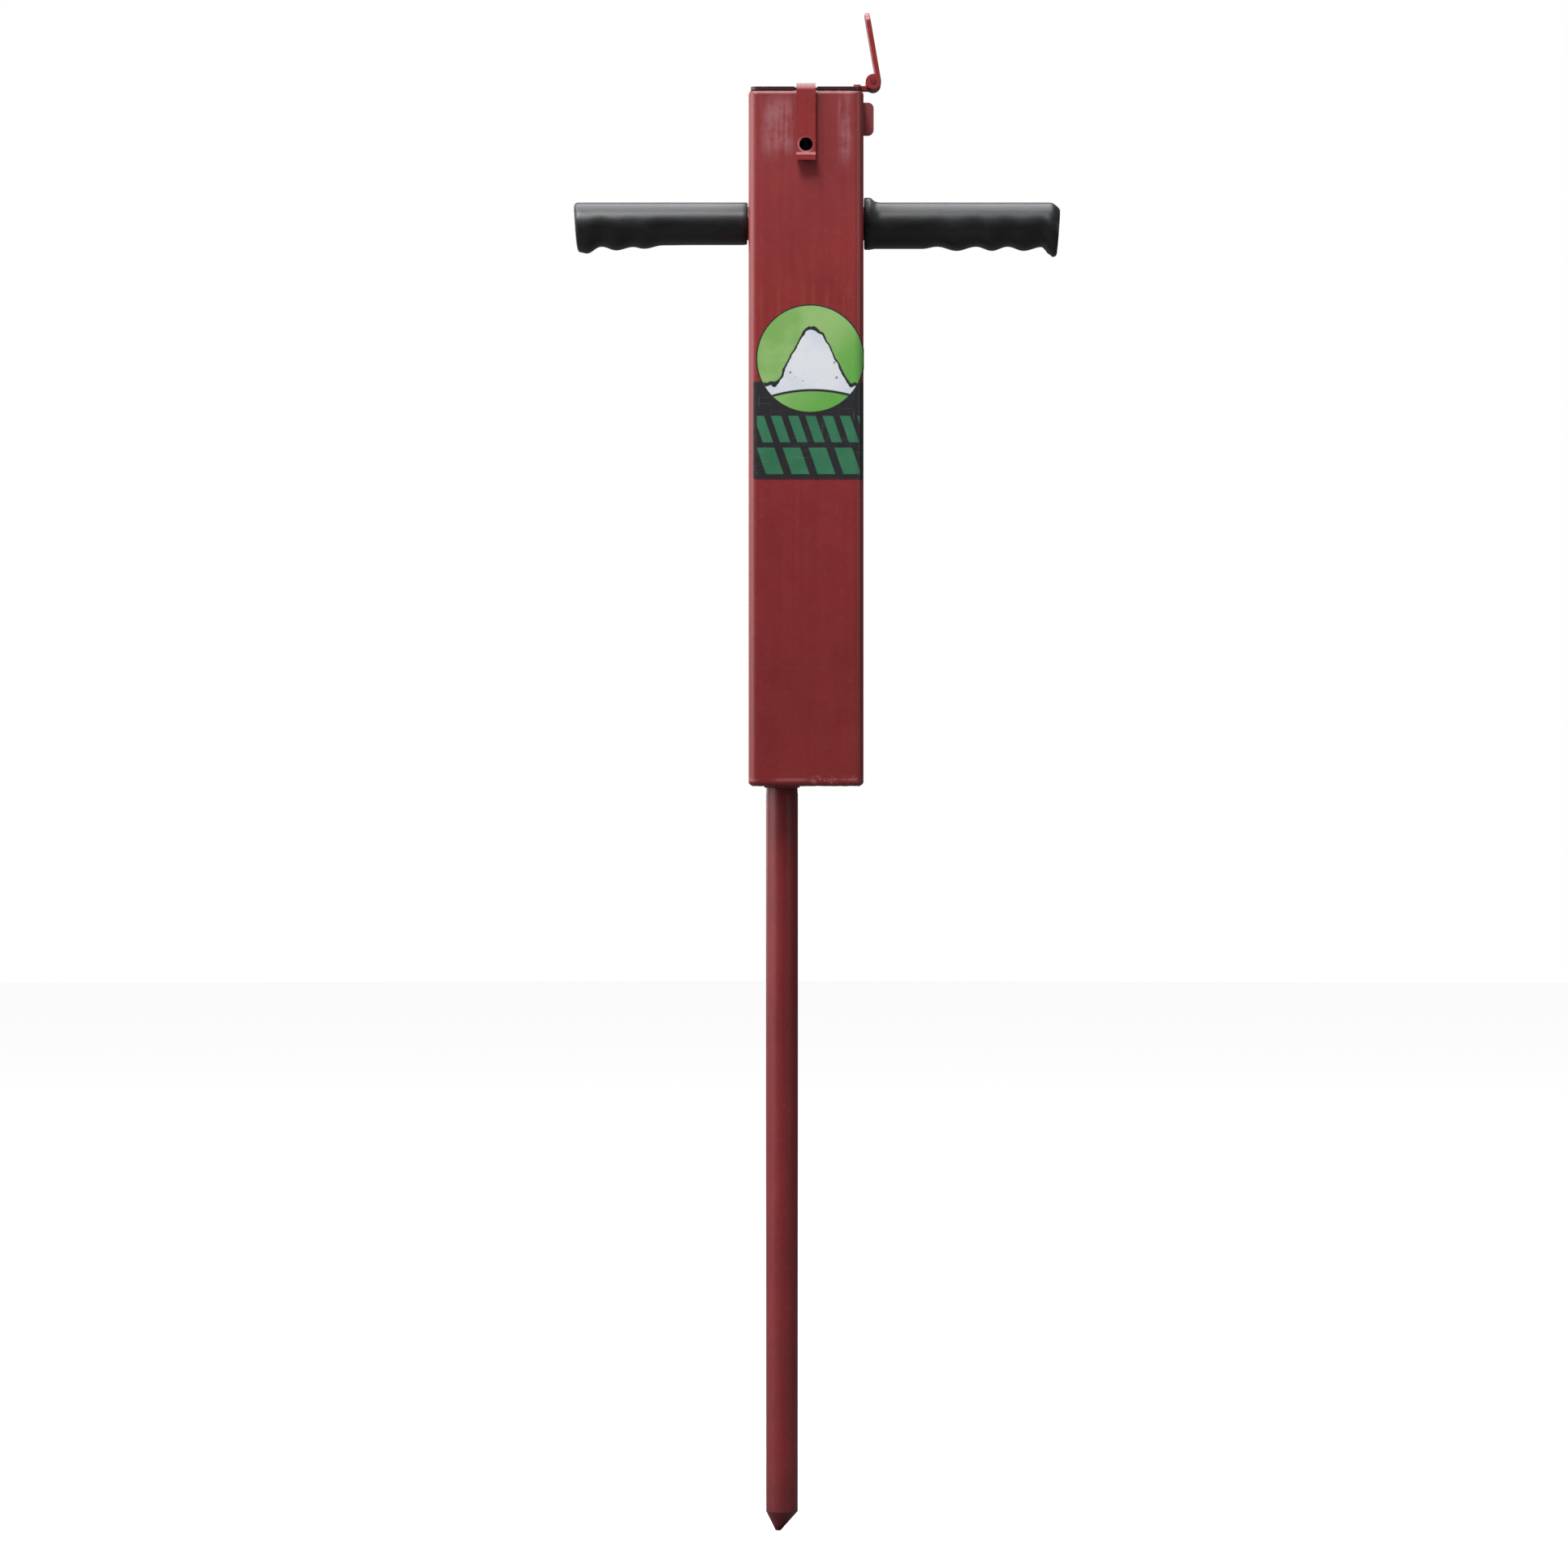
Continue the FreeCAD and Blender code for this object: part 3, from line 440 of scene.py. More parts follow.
def strap_marks(sheet):
    """Painted shade in the bend at the top, and a painted highlight ring on the lower left of the lock hole.
    """
    places = sheet.node("TexCoord").outputs
    x, _, z = sheet.node("SeparateXYZ", {0: places["Object"]}).outputs
    up = sheet.node("SeparateXYZ", {0: places["Normal"]}).outputs["Z"]
    # Painted shade in the bend at the top of the strap.
    bend = sheet.maths("MULTIPLY", sheet.fade(z, strap_high.z - 1.9 * MM, strap_high.z - 0.9 * MM),
                       sheet.fade(up, 0.97, 0.88))
    # Painted highlight: a paler ring on the lower left of the lock hole.
    u = sheet.maths("SUBTRACT", x, LOCK_HOLE_X)
    v = sheet.maths("SUBTRACT", z, LOCK_HOLE_Z)
    away = sheet.distance(u, v)
    lower_left = sheet.fade(sheet.maths("ADD", u, v), 2.0 * MM, -4.0 * MM, 0.1, 0.75)
    hole_highlight = sheet.maths("MULTIPLY", sheet.band(away, 4.3 * MM, 5.7 * MM, 0.35 * MM), lower_left)
    return [(sheet.maths("MULTIPLY", bend, 0.85), BEND_PAINTED_SHADE), (hole_highlight, CHALK_AND_PAINTED_LIGHT)]


def make_vinyl():
    """Soft black moulding: faint bloom, fine pores, and a parting line along its top and bottom."""
    material, sheet, shader = coat_material("soft black vinyl", specular_ior_level=0.5, sheen_weight=0.03,
                                            sheen_roughness=0.4)
    here = sheet.where()
    y = sheet.node("SeparateXYZ", {0: here}).outputs["Y"]
    bloom = sheet.noise(sheet.scaled(here, (40.0, 90.0, 90.0)), 1.0, 4.0, 0.6)
    pores = sheet.noise(here, 1500.0, 3.0, 0.6)
    ripple = sheet.noise(sheet.scaled(here, (60.0, 260.0, 260.0)), 1.0, 2.0)
    seam = sheet.band(y, -0.25 * MM, 0.25 * MM, 0.15 * MM)
    scratch = sheet.group(SCRATCHES, amount=0.5)["Mask"]
    dust = sheet.group(DUST, amount=0.10)["Mask"]
    colour = sheet.mix(sheet.fade(bloom, 0.35, 0.75), BLACK_VINYL, BLOOMED_VINYL)
    colour = sheet.mix(sheet.maths("MULTIPLY", scratch, 0.35), colour, SCRATCHED_VINYL)
    colour = sheet.mix(dust, colour, DUSTY_VINYL)
    sheet.feed(shader.inputs["Base Color"], colour)
    rough = sheet.maths("MULTIPLY_ADD", bloom, 0.18, 0.25)
    sheet.feed(shader.inputs["Roughness"], sheet.maths("MULTIPLY_ADD", pores, 0.08, rough))
    height = sheet.maths("ADD", sheet.maths("MULTIPLY", pores, 0.5), sheet.maths("MULTIPLY", ripple, 1.2))
    height = sheet.maths("ADD", height, sheet.maths("MULTIPLY", seam, 1.6))
    sheet.feed(shader.inputs["Normal"], sheet.bump(height, 0.04 * MM, 0.4))
    return material


def make_steel(name, dull, bright, spark_tone):
    """Plated or oiled steel with faint spangle and wiped lines."""
    material, sheet, shader = coat_material(name, metallic=1.0)
    here = sheet.where()
    spangle = sheet.node("TexVoronoi", {"Vector": here, "Scale": 260.0}).outputs["Color"]
    spark = sheet.node("SeparateColor", {0: spangle}).outputs[0]
    cloud = sheet.noise(here, 60.0, 4.0, 0.6)
    wiped = sheet.noise(sheet.scaled(here, (900.0, 900.0, 30.0)), 1.0, 3.0)
    scratch = sheet.group(SCRATCHES, amount=0.7)["Mask"]
    colour = sheet.mix(cloud, dull, bright)
    colour = sheet.mix(sheet.maths("MULTIPLY", spark, 0.18), colour, spark_tone)
    colour = sheet.mix(sheet.group(DUST, amount=0.5)["Mask"], colour, STEEL_DUST)
    sheet.feed(shader.inputs["Base Color"], colour)
    rough = sheet.maths("MULTIPLY_ADD", cloud, 0.22, 0.26)
    sheet.feed(shader.inputs["Roughness"], sheet.maths("MULTIPLY_ADD", spark, 0.08, rough))
    height = sheet.maths("SUBTRACT", sheet.maths("MULTIPLY", wiped, 0.5), scratch)
    sheet.feed(shader.inputs["Normal"], sheet.bump(height, 0.05 * MM, 0.6))
    return material


def make_acetal():
    """Machined white plastic with cutter marks and bait dust rubbed into them."""
    material, sheet, shader = coat_material("machined acetal", roughness=0.38, subsurface_weight=0.08)
    here = sheet.where()
    cutter = sheet.node("TexWave", {"Vector": here, "Scale": 420.0, "Distortion": 1.5, "Detail": 2.0},
                        bands_direction="X").outputs["Fac"]
    grime = sheet.noise(here, 140.0, 5.0, 0.65)
    colour = sheet.mix(sheet.fade(grime, 0.45, 0.8), CLEAN_ACETAL, GRIMY_ACETAL)
    sheet.feed(shader.inputs["Base Color"], colour)
    sheet.feed(shader.inputs["Normal"], sheet.bump(cutter, 0.03 * MM, 0.6))
    return material


GREEN = (0.210, 0.425, 0.105, 1.0)
LIGHT_GREEN = (0.300, 0.510, 0.170, 1.0)
PAINTED_SHADE_GREEN = (0.125, 0.395, 0.062, 1.0)
DEEP_GREEN = (0.026, 0.150, 0.070, 1.0)
FADED_DEEP_GREEN = (0.036, 0.190, 0.098, 1.0)
FILM_BLACK = (0.014, 0.013, 0.016, 1.0)
PRINT_WHITE = (0.76, 0.78, 0.82, 1.0)
COOL_WHITE = (0.66, 0.70, 0.78, 1.0)
CRUMB_GREY = (0.12, 0.12, 0.13, 1.0)
WORN_PRINT = (0.22, 0.13, 0.12, 1.0)
SCRATCHED_PRINT = (0.5, 0.5, 0.5, 1.0)

DISC_X = 18.8 * MM
DISC_RADIUS = 36.0 * MM
HEAP_SIDEWAYS = 1.5 * MM
HEAP_HALF_WIDTH = 25.5 * MM
HEAP_HEIGHT = 38.0 * MM
HEAP_FOOT = 20.0 * MM
PANEL_X = 17.45 * MM
SLAT_LEAN = 0.35
WELL_CLEAR = 1.0
SLAT_ENDS = (-16.5 * MM, 51.5 * MM)
UPPER_ROW = (232.0 * MM, 249.5 * MM)
LOWER_ROW = (211.0 * MM, 228.5 * MM)


def make_label_print():
    """Printed film: a green disc with a white heap, over a black panel with two rows of green slats."""
    material, sheet, shader = coat_material("printed film", coat_weight=0.15, coat_roughness=0.3)
    here = sheet.where()
    x, _, z = sheet.node("SeparateXYZ", {0: here}).outputs
    ragged = sheet.noise(here, 140.0, 3.0)
    smudge = sheet.noise(here, 38.0, 3.0)

    u = sheet.maths("SUBTRACT", x, DISC_X)
    v = sheet.maths("SUBTRACT", z, label_high.z - DISC_RADIUS)
    away = sheet.distance(u, v)
    disc = sheet.fade(away, DISC_RADIUS - 1.1 * MM, DISC_RADIUS - 0.7 * MM, 1.0, 0.0)

    lumps = sheet.maths("MULTIPLY_ADD", sheet.noise(here, 55.0, 2.0), 1.6, ragged)
    shift = sheet.maths("MULTIPLY", sheet.maths("SUBTRACT", lumps, 1.3), 7.0 * MM)
    across = sheet.maths("DIVIDE", sheet.maths("SUBTRACT", u, HEAP_SIDEWAYS), HEAP_HALF_WIDTH)
    squared = sheet.maths("MULTIPLY", across, across)
    bell = sheet.maths("POWER", sheet.maths("SUBTRACT", 1.0, squared, clamp=True), 1.6)
    top = sheet.maths("MULTIPLY_ADD", bell, HEAP_HEIGHT, sheet.maths("SUBTRACT", shift, HEAP_FOOT))
    under = sheet.maths("SUBTRACT", v, top)
    above_ground = sheet.maths("ADD", v, sheet.maths("MULTIPLY_ADD", squared, 3.5 * MM, HEAP_FOOT))
    heap = sheet.maths("MULTIPLY", sheet.fade(under, -0.3 * MM, 0.3 * MM, 1.0, 0.0),
                       sheet.fade(above_ground, -0.3 * MM, 0.3 * MM))
    border = sheet.maths("MULTIPLY", sheet.fade(under, 2.5 * MM, 3.3 * MM, 1.0, 0.0),
                         sheet.fade(above_ground, -1.9 * MM, -1.3 * MM))
    crumbs = sheet.fade(sheet.node("TexVoronoi", {"Vector": here, "Scale": 150.0}).outputs["Distance"],
                        0.16, 0.11, 0.0, 1.0)
    low_half = sheet.fade(v, 6.0 * MM, -6.0 * MM)

    slant = sheet.maths("MULTIPLY_ADD", z, SLAT_LEAN, sheet.maths("SUBTRACT", x, PANEL_X))

    def slats(low, high, pitch, share):
        """Row of leaning slats between two heights. WELL_CLEAR keeps what is divided above nought."""
        row = sheet.band(z, low, high, 0.25 * MM)
        width = sheet.band(x, *SLAT_ENDS, 0.3 * MM)
        phase = sheet.maths("FRACT", sheet.maths("DIVIDE", sheet.maths("ADD", slant, WELL_CLEAR), pitch))
        bars = sheet.band(phase, 0.5 - share / 2, 0.5 + share / 2, 0.025)
        return sheet.maths("MULTIPLY", sheet.maths("MULTIPLY", row, width), bars)

    upper = slats(*UPPER_ROW, pitch=11.4 * MM, share=0.60)
    lower = slats(*LOWER_ROW, pitch=17.1 * MM, share=0.68)
    bars = sheet.maths("MAXIMUM", upper, lower)

    green = sheet.mix(sheet.fade(smudge, 0.35, 0.65), GREEN, LIGHT_GREEN)
    # Painted shade: the disc darkens towards its lower right.
    green = sheet.mix(sheet.fade(sheet.maths("SUBTRACT", v, u), 20.0 * MM, -45.0 * MM), green, PAINTED_SHADE_GREEN)
    deep = sheet.mix(sheet.fade(smudge, 0.3, 0.7), DEEP_GREEN, FADED_DEEP_GREEN)
    white = sheet.mix(sheet.fade(smudge, 0.4, 0.7), PRINT_WHITE, COOL_WHITE)
    crumbled = sheet.maths("MULTIPLY", sheet.maths("MULTIPLY", crumbs, low_half), 0.75)
    white = sheet.mix(crumbled, white, CRUMB_GREY)
    colour = sheet.mix(bars, FILM_BLACK, deep)
    colour = sheet.mix(disc, colour, green)
    colour = sheet.mix(sheet.maths("MULTIPLY", border, disc), colour, FILM_BLACK)
    colour = sheet.mix(sheet.maths("MULTIPLY", heap, disc), colour, white)
    lost = sheet.fade(sheet.noise(here, 420.0, 5.0, 0.7), 0.67, 0.72)
    edge = sheet.group(EDGE_RUB, radius=0.6 * MM, cover=0.6, grain=420.0)["Mask"]
    worn = sheet.maths("MAXIMUM", sheet.maths("MULTIPLY", lost, 0.5), sheet.maths("MULTIPLY", edge, 0.5))
    colour = sheet.mix(worn, colour, WORN_PRINT)
    scratch = sheet.group(SCRATCHES, amount=0.4)["Mask"]
    colour = sheet.mix(sheet.maths("MULTIPLY", scratch, 0.3), colour, SCRATCHED_PRINT)
    sheet.feed(shader.inputs["Base Color"], colour)
    sheet.feed(shader.inputs["Roughness"], sheet.maths("MULTIPLY_ADD", smudge, 0.25, 0.32))
    creases = sheet.noise(sheet.scaled(here, (160.0, 160.0, 60.0)), 1.0, 3.0)
    sheet.feed(shader.inputs["Normal"], sheet.bump(creases, 0.1 * MM, 0.5))
    return material


HOPPER_RED = enamel("hopper enamel", RED, rub=0.22, marks=hopper_marks)
FITTING_RED = enamel("fitting enamel", FITTING_TONE, rub=0.35, rub_radius=0.7, cloud=0.7)
SPIKE_RED = enamel("spike enamel", (0.205, 0.0165, 0.0195, 1.0), rub=0.3, marks=spike_marks)
STRAP_RED = enamel("strap enamel", FITTING_TONE, rub=0.3, rub_radius=0.7, cloud=0.7, marks=strap_marks)
# The keeper's enamel is made lighter than the rest as painted light.
LUG_PAINTED_LIGHT_RED = enamel("keeper enamel with painted light", (0.440, 0.0900, 0.1000, 1.0), rub=0.8, rub_radius=0.8, cloud=0.7)
LID_RED = enamel("lid enamel", (0.255, 0.0225, 0.0240, 1.0), rub=0.35, rub_radius=0.5, marks=lid_marks)
# A darker copy of the enamel for the rivets and the parts inside, as painted shade.
PAINTED_SHADE_RED = enamel("enamel with painted shade", (0.150, 0.0160, 0.0180, 1.0), rub=0.3)
VINYL = make_vinyl()
ZINC = make_steel("dull zinc plate", (0.40, 0.41, 0.42, 1.0), (0.62, 0.63, 0.64, 1.0),
                  (0.80, 0.80, 0.79, 1.0))
OILED = make_steel("oiled black steel", (0.030, 0.026, 0.025, 1.0), (0.075, 0.070, 0.068, 1.0),
                   (0.12, 0.11, 0.10, 1.0))
ACETAL = make_acetal()
LABEL_PRINT = make_label_print()


# Grips: a ring extruded along the bar, deeper below the bar than above it

GRIP_TOP = 14.1 * MM
GRIP_SIDES = 64
RING_STEP = 2.0 * MM
MOST_RINGS = 200
RING_SWELL = 0.3
LEAN_LENGTH = 16.0 * MM
CLOSED_END = 3.0 * MM
BORE_SLACK = 0.05 * MM


def grip_depth(stations, distance):
    """Depth below the bar at a distance from the closed end, eased between the stations."""
    for (d0, low), (d1, high) in zip(stations, stations[1:]):
        if distance <= d1:
            share = (1 - math.cos(math.pi * (distance - d0) / (d1 - d0))) / 2
            return low + (high - low) * share
    return stations[-1][1]


def ring_size(up, down):
    """Half height and half width of a grip's ring: a tall ring is a little wider, and a low one narrower."""
    high = (up + down) / 2
    wide = GRIP_TOP + RING_SWELL * (high - GRIP_TOP)
    return high, min(wide, wide * high / GRIP_TOP)


def moulded_grip(name, end, mouth, end_rings, stations, mouth_rings, tilt, node):
    """Grip from its closed end to its mouth on the bar. Rings are (distance, height above, depth below)."""
    inward = 1 if mouth > end else -1
    length = abs(mouth - end)
    body = [(d * MM, GRIP_TOP, grip_depth(stations, d) * MM)
            for d in [end_rings[-1][0] + n * RING_STEP / MM for n in range(1, MOST_RINGS)]
            if d * MM < length - mouth_rings[0][0] * MM - 0.5 * RING_STEP]
    rings = [(d * MM, up * MM, down * MM) for d, up, down in end_rings] + body
    rings += [(length - d * MM, up * MM, down * MM) for d, up, down in mouth_rings]
    z = bar_middle.z

    def lean(distance):
        return tilt * max(0.0, 1 - distance / LEAN_LENGTH)

    first, up, down = rings[0]
    bpy.ops.object.select_all(action="DESELECT")
    bpy.ops.mesh.primitive_circle_add(vertices=GRIP_SIDES, radius=1.0, fill_type="NGON",
                                      location=(end + inward * first, 0, z), rotation=(0, math.pi / 2, 0))
    grip = settle(bpy.context.object, name)
    edit(grip)
    bpy.ops.mesh.select_all(action="SELECT")
    high, wide = ring_size(up, down)
    lift = (up - down) / 2
    at = Vector((end + inward * first, 0, z))
    bpy.ops.transform.resize(value=(1, wide, high), center_override=at)
    bpy.ops.transform.translate(value=(0, 0, lift))
    top = Vector((at.x, 0, z + up))
    bpy.ops.transform.rotate(value=inward * lean(first), orient_axis="Y", center_override=top)
    last, last_lift, last_high, last_wide = first, lift, high, wide
    for distance, up, down in rings[1:]:
        high, wide = ring_size(up, down)
        lift = (up - down) / 2
        step = Vector((inward * (distance - last), 0, lift - last_lift))
        bpy.ops.mesh.extrude_region_move(TRANSFORM_OT_translate={"value": step})
        at = Vector((end + inward * distance, 0, z + lift))
        bpy.ops.transform.resize(value=(1, wide / last_wide, high / last_high), center_override=at)
        turn = lean(distance) - lean(last)
        if turn:
            bpy.ops.transform.rotate(value=inward * turn, orient_axis="Y",
                                     center_override=Vector((at.x, 0, z + up)))
        last, last_lift, last_high, last_wide = distance, lift, high, wide
    bore = bar_high.z - bar_middle.z + BORE_SLACK
    bpy.ops.mesh.extrude_region_move(TRANSFORM_OT_translate={"value": (0, 0, -last_lift)})
    bpy.ops.transform.resize(value=(1, bore / last_wide, bore / last_high),
                             center_override=Vector((mouth, 0, z)))
    depth = length - CLOSED_END
    bpy.ops.mesh.extrude_region_move(TRANSFORM_OT_translate={"value": (-inward * depth, 0, 0)})
    leave_edit()
    outward(grip)
    smooth(grip)
    finish_piece(grip, "hopper", "grip_rubber", VINYL, node)
    return grip


left_low, left_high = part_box("left_grip")
right_low, right_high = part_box("right_grip")
TILT = math.radians(4.2)
moulded_grip(
    "left_hand_grip", left_low.x, left_high.x,
    [(0.0, 11.6, 15.6), (0.5, 12.9, 17.2), (1.4, 13.7, 18.6), (2.6, 14.1, 19.2)],
    [(0, 19.2), (2.6, 19.2), (8, 20.0), (19, 15.4), (28.5, 17.9), (40, 15.6), (47, 16.8), (60, 14.5),
     (80, 14.3), (300, 14.1)],
    [(0.8, 14.1, 14.1), (0.2, 13.8, 13.8), (0.0, 13.3, 13.3)], TILT, "left_grip")
moulded_grip(
    "right_hand_grip", right_high.x, right_low.x,
    [(0.0, 9.2, 20.6), (0.6, 10.2, 21.6), (2.0, 11.6, 22.2), (3.6, 12.9, 22.2), (5.2, 13.8, 20.9)],
    [(0, 22.2), (5.2, 20.9), (12, 15.6), (24.5, 18.2), (35, 15.4), (45.5, 18.2), (56, 15.4), (69, 18.2),
     (82, 15.4), (92, 16.9), (118, 16.9), (300, 16.9)],
    [(10.0, 14.1, 16.9), (7.0, 14.9, 16.9), (4.6, 17.0, 17.3), (3.6, 17.3, 17.5), (0.7, 17.3, 17.5),
     (0.2, 17.0, 17.2), (0.0, 16.4, 16.6)], TILT, "right_grip")


# Welds: a bead laid ring by ring, each ring a little fuller or leaner than the last

BEAD_SIDES = 12
BEAD_RIPPLE = 2.1
RING_PLACES = 40
FLUSH_BEAD = 0.9 * MM
UP = Vector((0, 0, 1))
SIDE = Vector((1, 0, 0))


def weld_bead(name, places, axis, radius, lump):
    """Closed bead through these places, which lie in a plane across the axis."""
    count = len(places)
    orient = "XYZ"[[abs(a) > 0.5 for a in axis].index(True)]
    heading = (places[1] - places[0]).normalized()
    bpy.ops.object.select_all(action="DESELECT")
    bpy.ops.mesh.primitive_circle_add(vertices=BEAD_SIDES, radius=radius, fill_type="NOTHING",
                                      location=places[0])
    bead = bpy.context.object
    bead.rotation_mode = "QUATERNION"
    bead.rotation_quaternion = heading.to_track_quat("Z", "Y")
    settle(bead, name)
    edit(bead)
    bpy.ops.mesh.select_all(action="SELECT")
    size = 1.0
    for n in range(1, count):
        step = places[n] - places[n - 1]
        bpy.ops.mesh.extrude_region_move(TRANSFORM_OT_translate={"value": step})
        ahead = places[(n + 1) % count] - places[n]
        turn = step.angle(ahead)
        bpy.ops.transform.rotate(value=-turn if step.cross(ahead).dot(axis) > 0 else turn,
                                 orient_axis=orient, center_override=places[n])
        new = 1.0 + lump * (0.5 * math.sin(n * BEAD_RIPPLE) + chance.uniform(-0.5, 0.5))
        bpy.ops.transform.resize(value=(new / size,) * 3, center_override=places[n])
        size = new
    bpy.ops.mesh.select_all(action="DESELECT")
    bpy.ops.mesh.select_non_manifold()
    bpy.ops.mesh.bridge_edge_loops()
    leave_edit()
    outward(bead)
    apply(bead, "SUBSURF", levels=1, render_levels=1)
    smooth(bead)
    return bead


def ring_of(centre, radius, axis, count):
    """Places round a circle."""
    first = Vector((0, 0, 1)) if abs(axis.x) > 0.5 else Vector((1, 0, 0))
    second = axis.cross(first)
    return [centre + radius * (math.cos(a) * first + math.sin(a) * second)
            for a in [2 * math.pi * n / count for n in range(count)]]


def rounded_square(half, corner, z, pitch):
    """Places round a square with rounded corners on the hopper's centre line."""
    places = []
    straight = half - corner
    runs = max(2, round(2 * straight / pitch))
    for side in range(4):
        angle = side * math.pi / 2
        out = Vector((math.cos(angle), math.sin(angle), 0))
        along = Vector((-math.sin(angle), math.cos(angle), 0))
        for n in range(runs + 1):
            places.append(out * half + along * (-straight + 2 * straight * n / runs))
        for n in range(1, 4):
            bend = angle + n * math.pi / 8
            centre = (out + along) * straight
            places.append(centre + corner * Vector((math.cos(bend), math.sin(bend), 0)))
    middle = Vector((tube_middle.x, tube_middle.y, z))
    return [middle + place for place in places]


SPIKE_BEAD_DROP = 0.6 * MM
SPIKE_BEAD_REACH = 0.5 * MM
weld_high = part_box("probe_weld")[1]
spike_bead_middle = Vector((0, 0, weld_high.z - SPIKE_BEAD_DROP))
spike_ring = ring_of(spike_bead_middle, pipe_radius + SPIKE_BEAD_REACH, UP, RING_PLACES)
spike_weld = weld_bead("spike_weld", spike_ring, UP, FLUSH_BEAD, 0.14)
finish_piece(spike_weld, "hopper", "hopper_paint", SPIKE_RED, "probe_weld")

# The bar's beads sit in the corner between its surface and the hopper's walls.
BAR_BEAD_SEAT = 0.35
BAR_BEAD_RADIUS = 0.52
ring_low, ring_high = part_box("handle_welds")
leg = ring_high.y - bar_high.y
seat = BAR_BEAD_SEAT * leg
beads = []
for x in (ring_low.x + seat, ring_high.x - seat):
    bar_ring = ring_of(Vector((x, 0, bar_middle.z)), bar_high.y + seat, SIDE, RING_PLACES)
    beads.append(weld_bead("bar_weld", bar_ring, SIDE, BAR_BEAD_RADIUS * leg, 0.16))
bpy.ops.object.select_all(action="DESELECT")
for bead in beads:
    bead.select_set(True)
bpy.context.view_layer.objects.active = beads[0]
bpy.ops.object.join()
bar_weld = settle(beads[0], "bar_weld")
finish_piece(bar_weld, "hopper", "hopper_paint", PAINTED_SHADE_RED, "handle_welds")

SEAM_INSET = 2.9 * MM
SEAM_CORNER = 3.4 * MM
SEAM_LIFT = 0.5 * MM
SEAM_PITCH = 2.4 * MM
seam_half = (tube_high.x - tube_low.x) / 2 - SEAM_INSET
seam_places = rounded_square(seam_half, SEAM_CORNER, tube_low.z + SEAM_LIFT, SEAM_PITCH)
seam_weld = weld_bead("base_seam_weld", seam_places, UP, FLUSH_BEAD, 0.25)
finish_piece(seam_weld, "hopper", "hopper_paint", HOPPER_RED)


# Parts whose CAD shape stays, with eased edges

PAINTED = [
    ("hopper_tube", "hopper_box", "hopper", HOPPER_RED, 0.12),
    ("bottom_plate", "hopper_floor", "hopper", HOPPER_RED, 0.3),
    ("probe_pipe", "spike_pipe", "hopper", SPIKE_RED, 0.2),
    ("probe_foot", "spike_foot", "hopper", SPIKE_RED, 0.35),
    ("probe_tip", "spike_point", "hopper", SPIKE_RED, 0.5),
    ("handle_bar", "cross_bar", "hopper", PAINTED_SHADE_RED, 0.3),
    ("hinge_leaf", "hinge_fixed_leaf", "hopper", FITTING_RED, 0.35),
    ("hasp_keeper", "keeper_lug", "hopper", LUG_PAINTED_LIGHT_RED, 0.7),
    ("lid_plate", "lid_sheet", "lid", LID_RED, 0.25),
    ("hasp_leaf", "hasp_fixed_leaf", "lid", FITTING_RED, 0.5),
    ("hasp_flap", "hasp_swing_flap", "hasp", FITTING_RED, 0.55),
    ("trigger_strap", "finger_strap", "trigger", STRAP_RED, 0.45),
]
for node, name, body, coat, width in PAINTED:
    softened(node, name, body, "hopper_paint", coat, width)

STEEL = [
    ("hopper_funnel", "funnel_sheet", "hopper", ZINC, 0.2),
    ("metering_housing", "block_channel", "hopper", ZINC, 0.3),
    ("upper_rod_guide", "rod_guide", "hopper", ZINC, 0.3),
    ("sleeve_bracket", "sleeve_holder", "hopper", ZINC, 0.3),
    ("rod_sleeve", "rod_tube", "hopper", ZINC, 0.15),
    ("hinge_pin", "hinge_rivet", "hopper", PAINTED_SHADE_RED, 0.3),
    ("hasp_pin", "hasp_rivet", "lid", PAINTED_SHADE_RED, 0.3),
    ("trigger_rod", "lift_rod", "trigger", OILED, 0.25),
    ("follower_pin", "cam_follower", "trigger", OILED, 0.2),
    ("spring_collar", "spring_seat", "trigger", ZINC, 0.3),
    ("collar_pin", "spring_seat_pin", "trigger", OILED, 0.2),
    ("cam_plate", "cam_slotted_plate", "shuttle", ZINC, 0.25),
    ("cam_spacers", "cam_stand_offs", "shuttle", ZINC, 0.2),
    ("cam_screws", "cam_fixing_screws", "shuttle", ZINC, 0.2),
]
for node, name, body, coat, width in STEEL:
    softened(node, name, body, "bright_steel", coat, width, segments=2)
softened("metering_block", "dose_block", "shuttle", "block_plastic", ACETAL, 0.5)

# The spring gets a mesh of its own; on the real thing it is squeezed against its upper end as the trigger is
# lifted.
lift_spring = cad_copy("return_spring", "lift_spring")
smooth(lift_spring)
finish_piece(lift_spring, "hopper", "bright_steel", ZINC, "return_spring")
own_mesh(lift_spring)

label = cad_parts["front_label"]
label.data.materials.clear()
label.data.materials.append(LABEL_PRINT)


# Studio: pale floor under the point, a white surround, and soft lamps

# The camera sees the floor near white, and the rest of the light meets it darker.
FLOOR_SEEN = ((0.66, 0.66, 0.66, 1.0), (0.69, 0.69, 0.69, 1.0))
FLOOR_UNSEEN = (0.10, 0.10, 0.10, 1.0)
FLOOR_GLOW = 0.88
FLOOR_RADIUS = 14.0
FLOOR_GAP = 0.3 * MM
AMBIENT = 0.10
floor_z = tip_low.z - FLOOR_GAP
bpy.ops.object.select_all(action="DESELECT")
bpy.ops.mesh.primitive_circle_add(vertices=96, radius=FLOOR_RADIUS, fill_type="NGON",
                                  location=(0, 0, floor_z))
floor = settle(bpy.context.object, "studio_floor")
floor_material, floor_sheet, floor_shader = coat_material("studio floor", roughness=0.9)
floor_shader.inputs["Emission Color"].default_value = (1.0, 1.0, 1.0, 1.0)
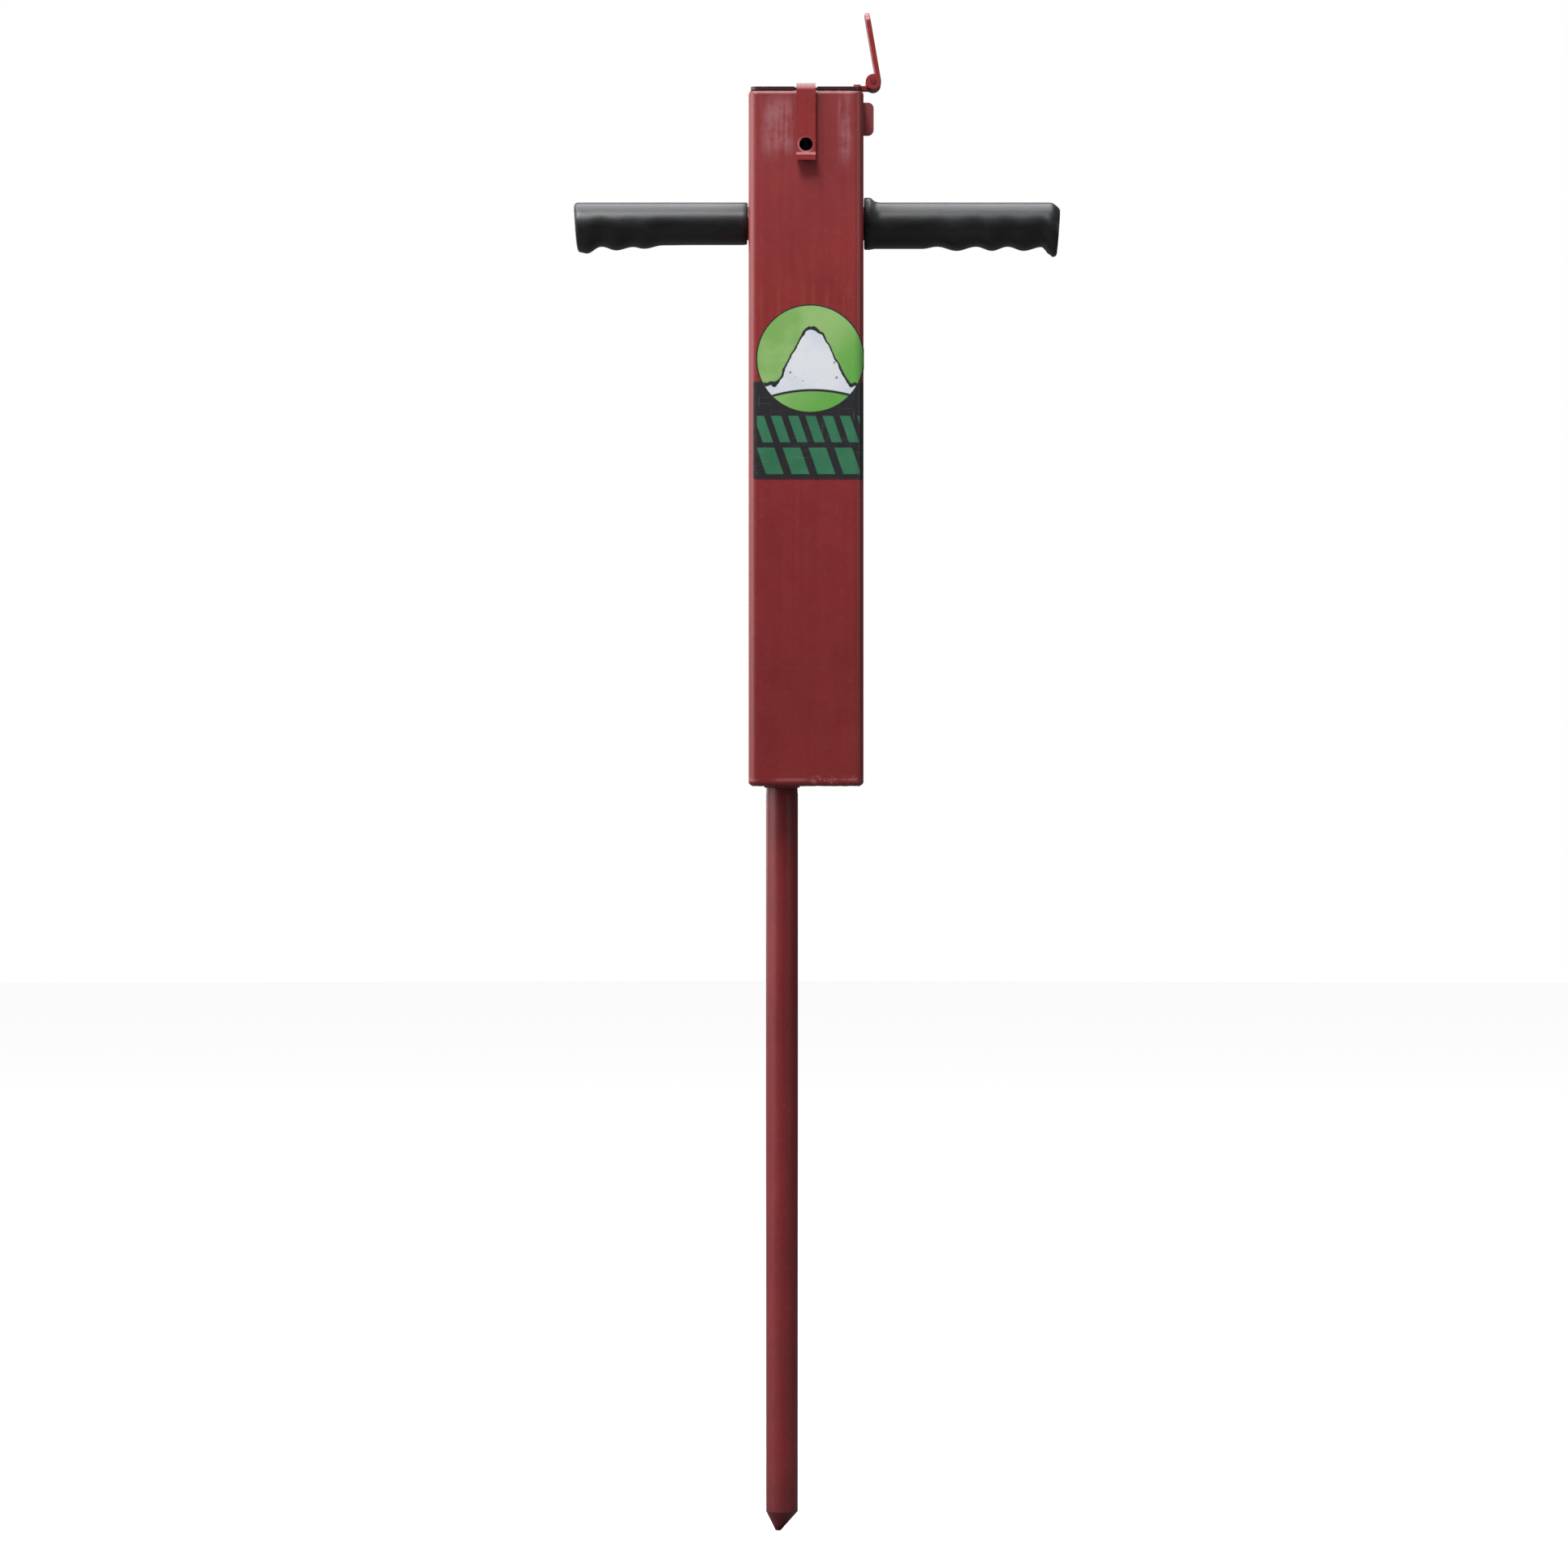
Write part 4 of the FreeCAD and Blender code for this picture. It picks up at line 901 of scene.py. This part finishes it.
mottle = floor_sheet.noise(floor_sheet.where(), 3.0, 3.0)
floor_seen = floor_sheet.node("LightPath").outputs["Is Camera Ray"]
floor_tone = floor_sheet.mix(floor_seen, FLOOR_UNSEEN, floor_sheet.mix(mottle, *FLOOR_SEEN))
floor_sheet.feed(floor_shader.inputs["Base Color"], floor_tone)
floor_glow = floor_sheet.maths("MULTIPLY", floor_seen, FLOOR_GLOW)
floor_sheet.feed(floor_shader.inputs["Emission Strength"], floor_glow)
floor.data.materials.append(floor_material)

world = bpy.data.worlds.new("studio")
bpy.context.scene.world = world
world.use_nodes = True
surround = Sheet(world.node_tree)
backdrop = world.node_tree.nodes["Background"]
seen = surround.node("LightPath").outputs["Is Camera Ray"]
surround.feed(backdrop.inputs["Strength"], surround.maths("MULTIPLY_ADD", seen, 1.0 - AMBIENT, AMBIENT))
backdrop.inputs["Color"].default_value = (1.0, 1.0, 1.0, 1.0)


def lamp(name, place, aim, width, height, power, colour=(1.0, 1.0, 1.0)):
    """Soft rectangular lamp."""
    light = bpy.data.lights.new(name, "AREA")
    light.shape = "RECTANGLE"
    light.size = width
    light.size_y = height
    light.energy = power
    light.color = colour
    stand = bpy.data.objects.new(name, light)
    stand.location = place
    stand.rotation_euler = (Vector(aim) - Vector(place)).to_track_quat("-Z", "Y").to_euler()
    stand.visible_camera = False
    bpy.context.scene.collection.objects.link(stand)


lamp("key", (-0.7, -1.75, 2.75), (0, 0, 0.2), 1.1, 1.1, 88)
lamp("overhead", (-0.4, 0.65, 2.6), (-0.4, 0.65, 0.2), 2.6, 2.8, 120, (0.94, 0.97, 1.0))
lamp("left wall", (-2.2, -0.6, 0.95), (0, 0, 0.2), 2.4, 1.9, 52)
lamp("left back", (-1.6, 2.0, 0.8), (0, 0, 0.25), 2.0, 1.8, 22)
lamp("right fill", (2.1, -1.7, 0.9), (0, 0, 0.1), 1.4, 1.4, 8)

camera = bpy.data.cameras.new("camera")
camera.lens = 173.6
camera.sensor_width = 36.0
camera.clip_end = 100.0
viewer = bpy.data.objects.new("camera", camera)
viewer.location = (1.35 * MM, -5.0381, 6.07 * MM)
viewer.rotation_euler = (math.pi / 2, 0, 0)
bpy.context.scene.collection.objects.link(viewer)
bpy.context.scene.camera = viewer
bpy.context.scene.view_settings.view_transform = "Standard"
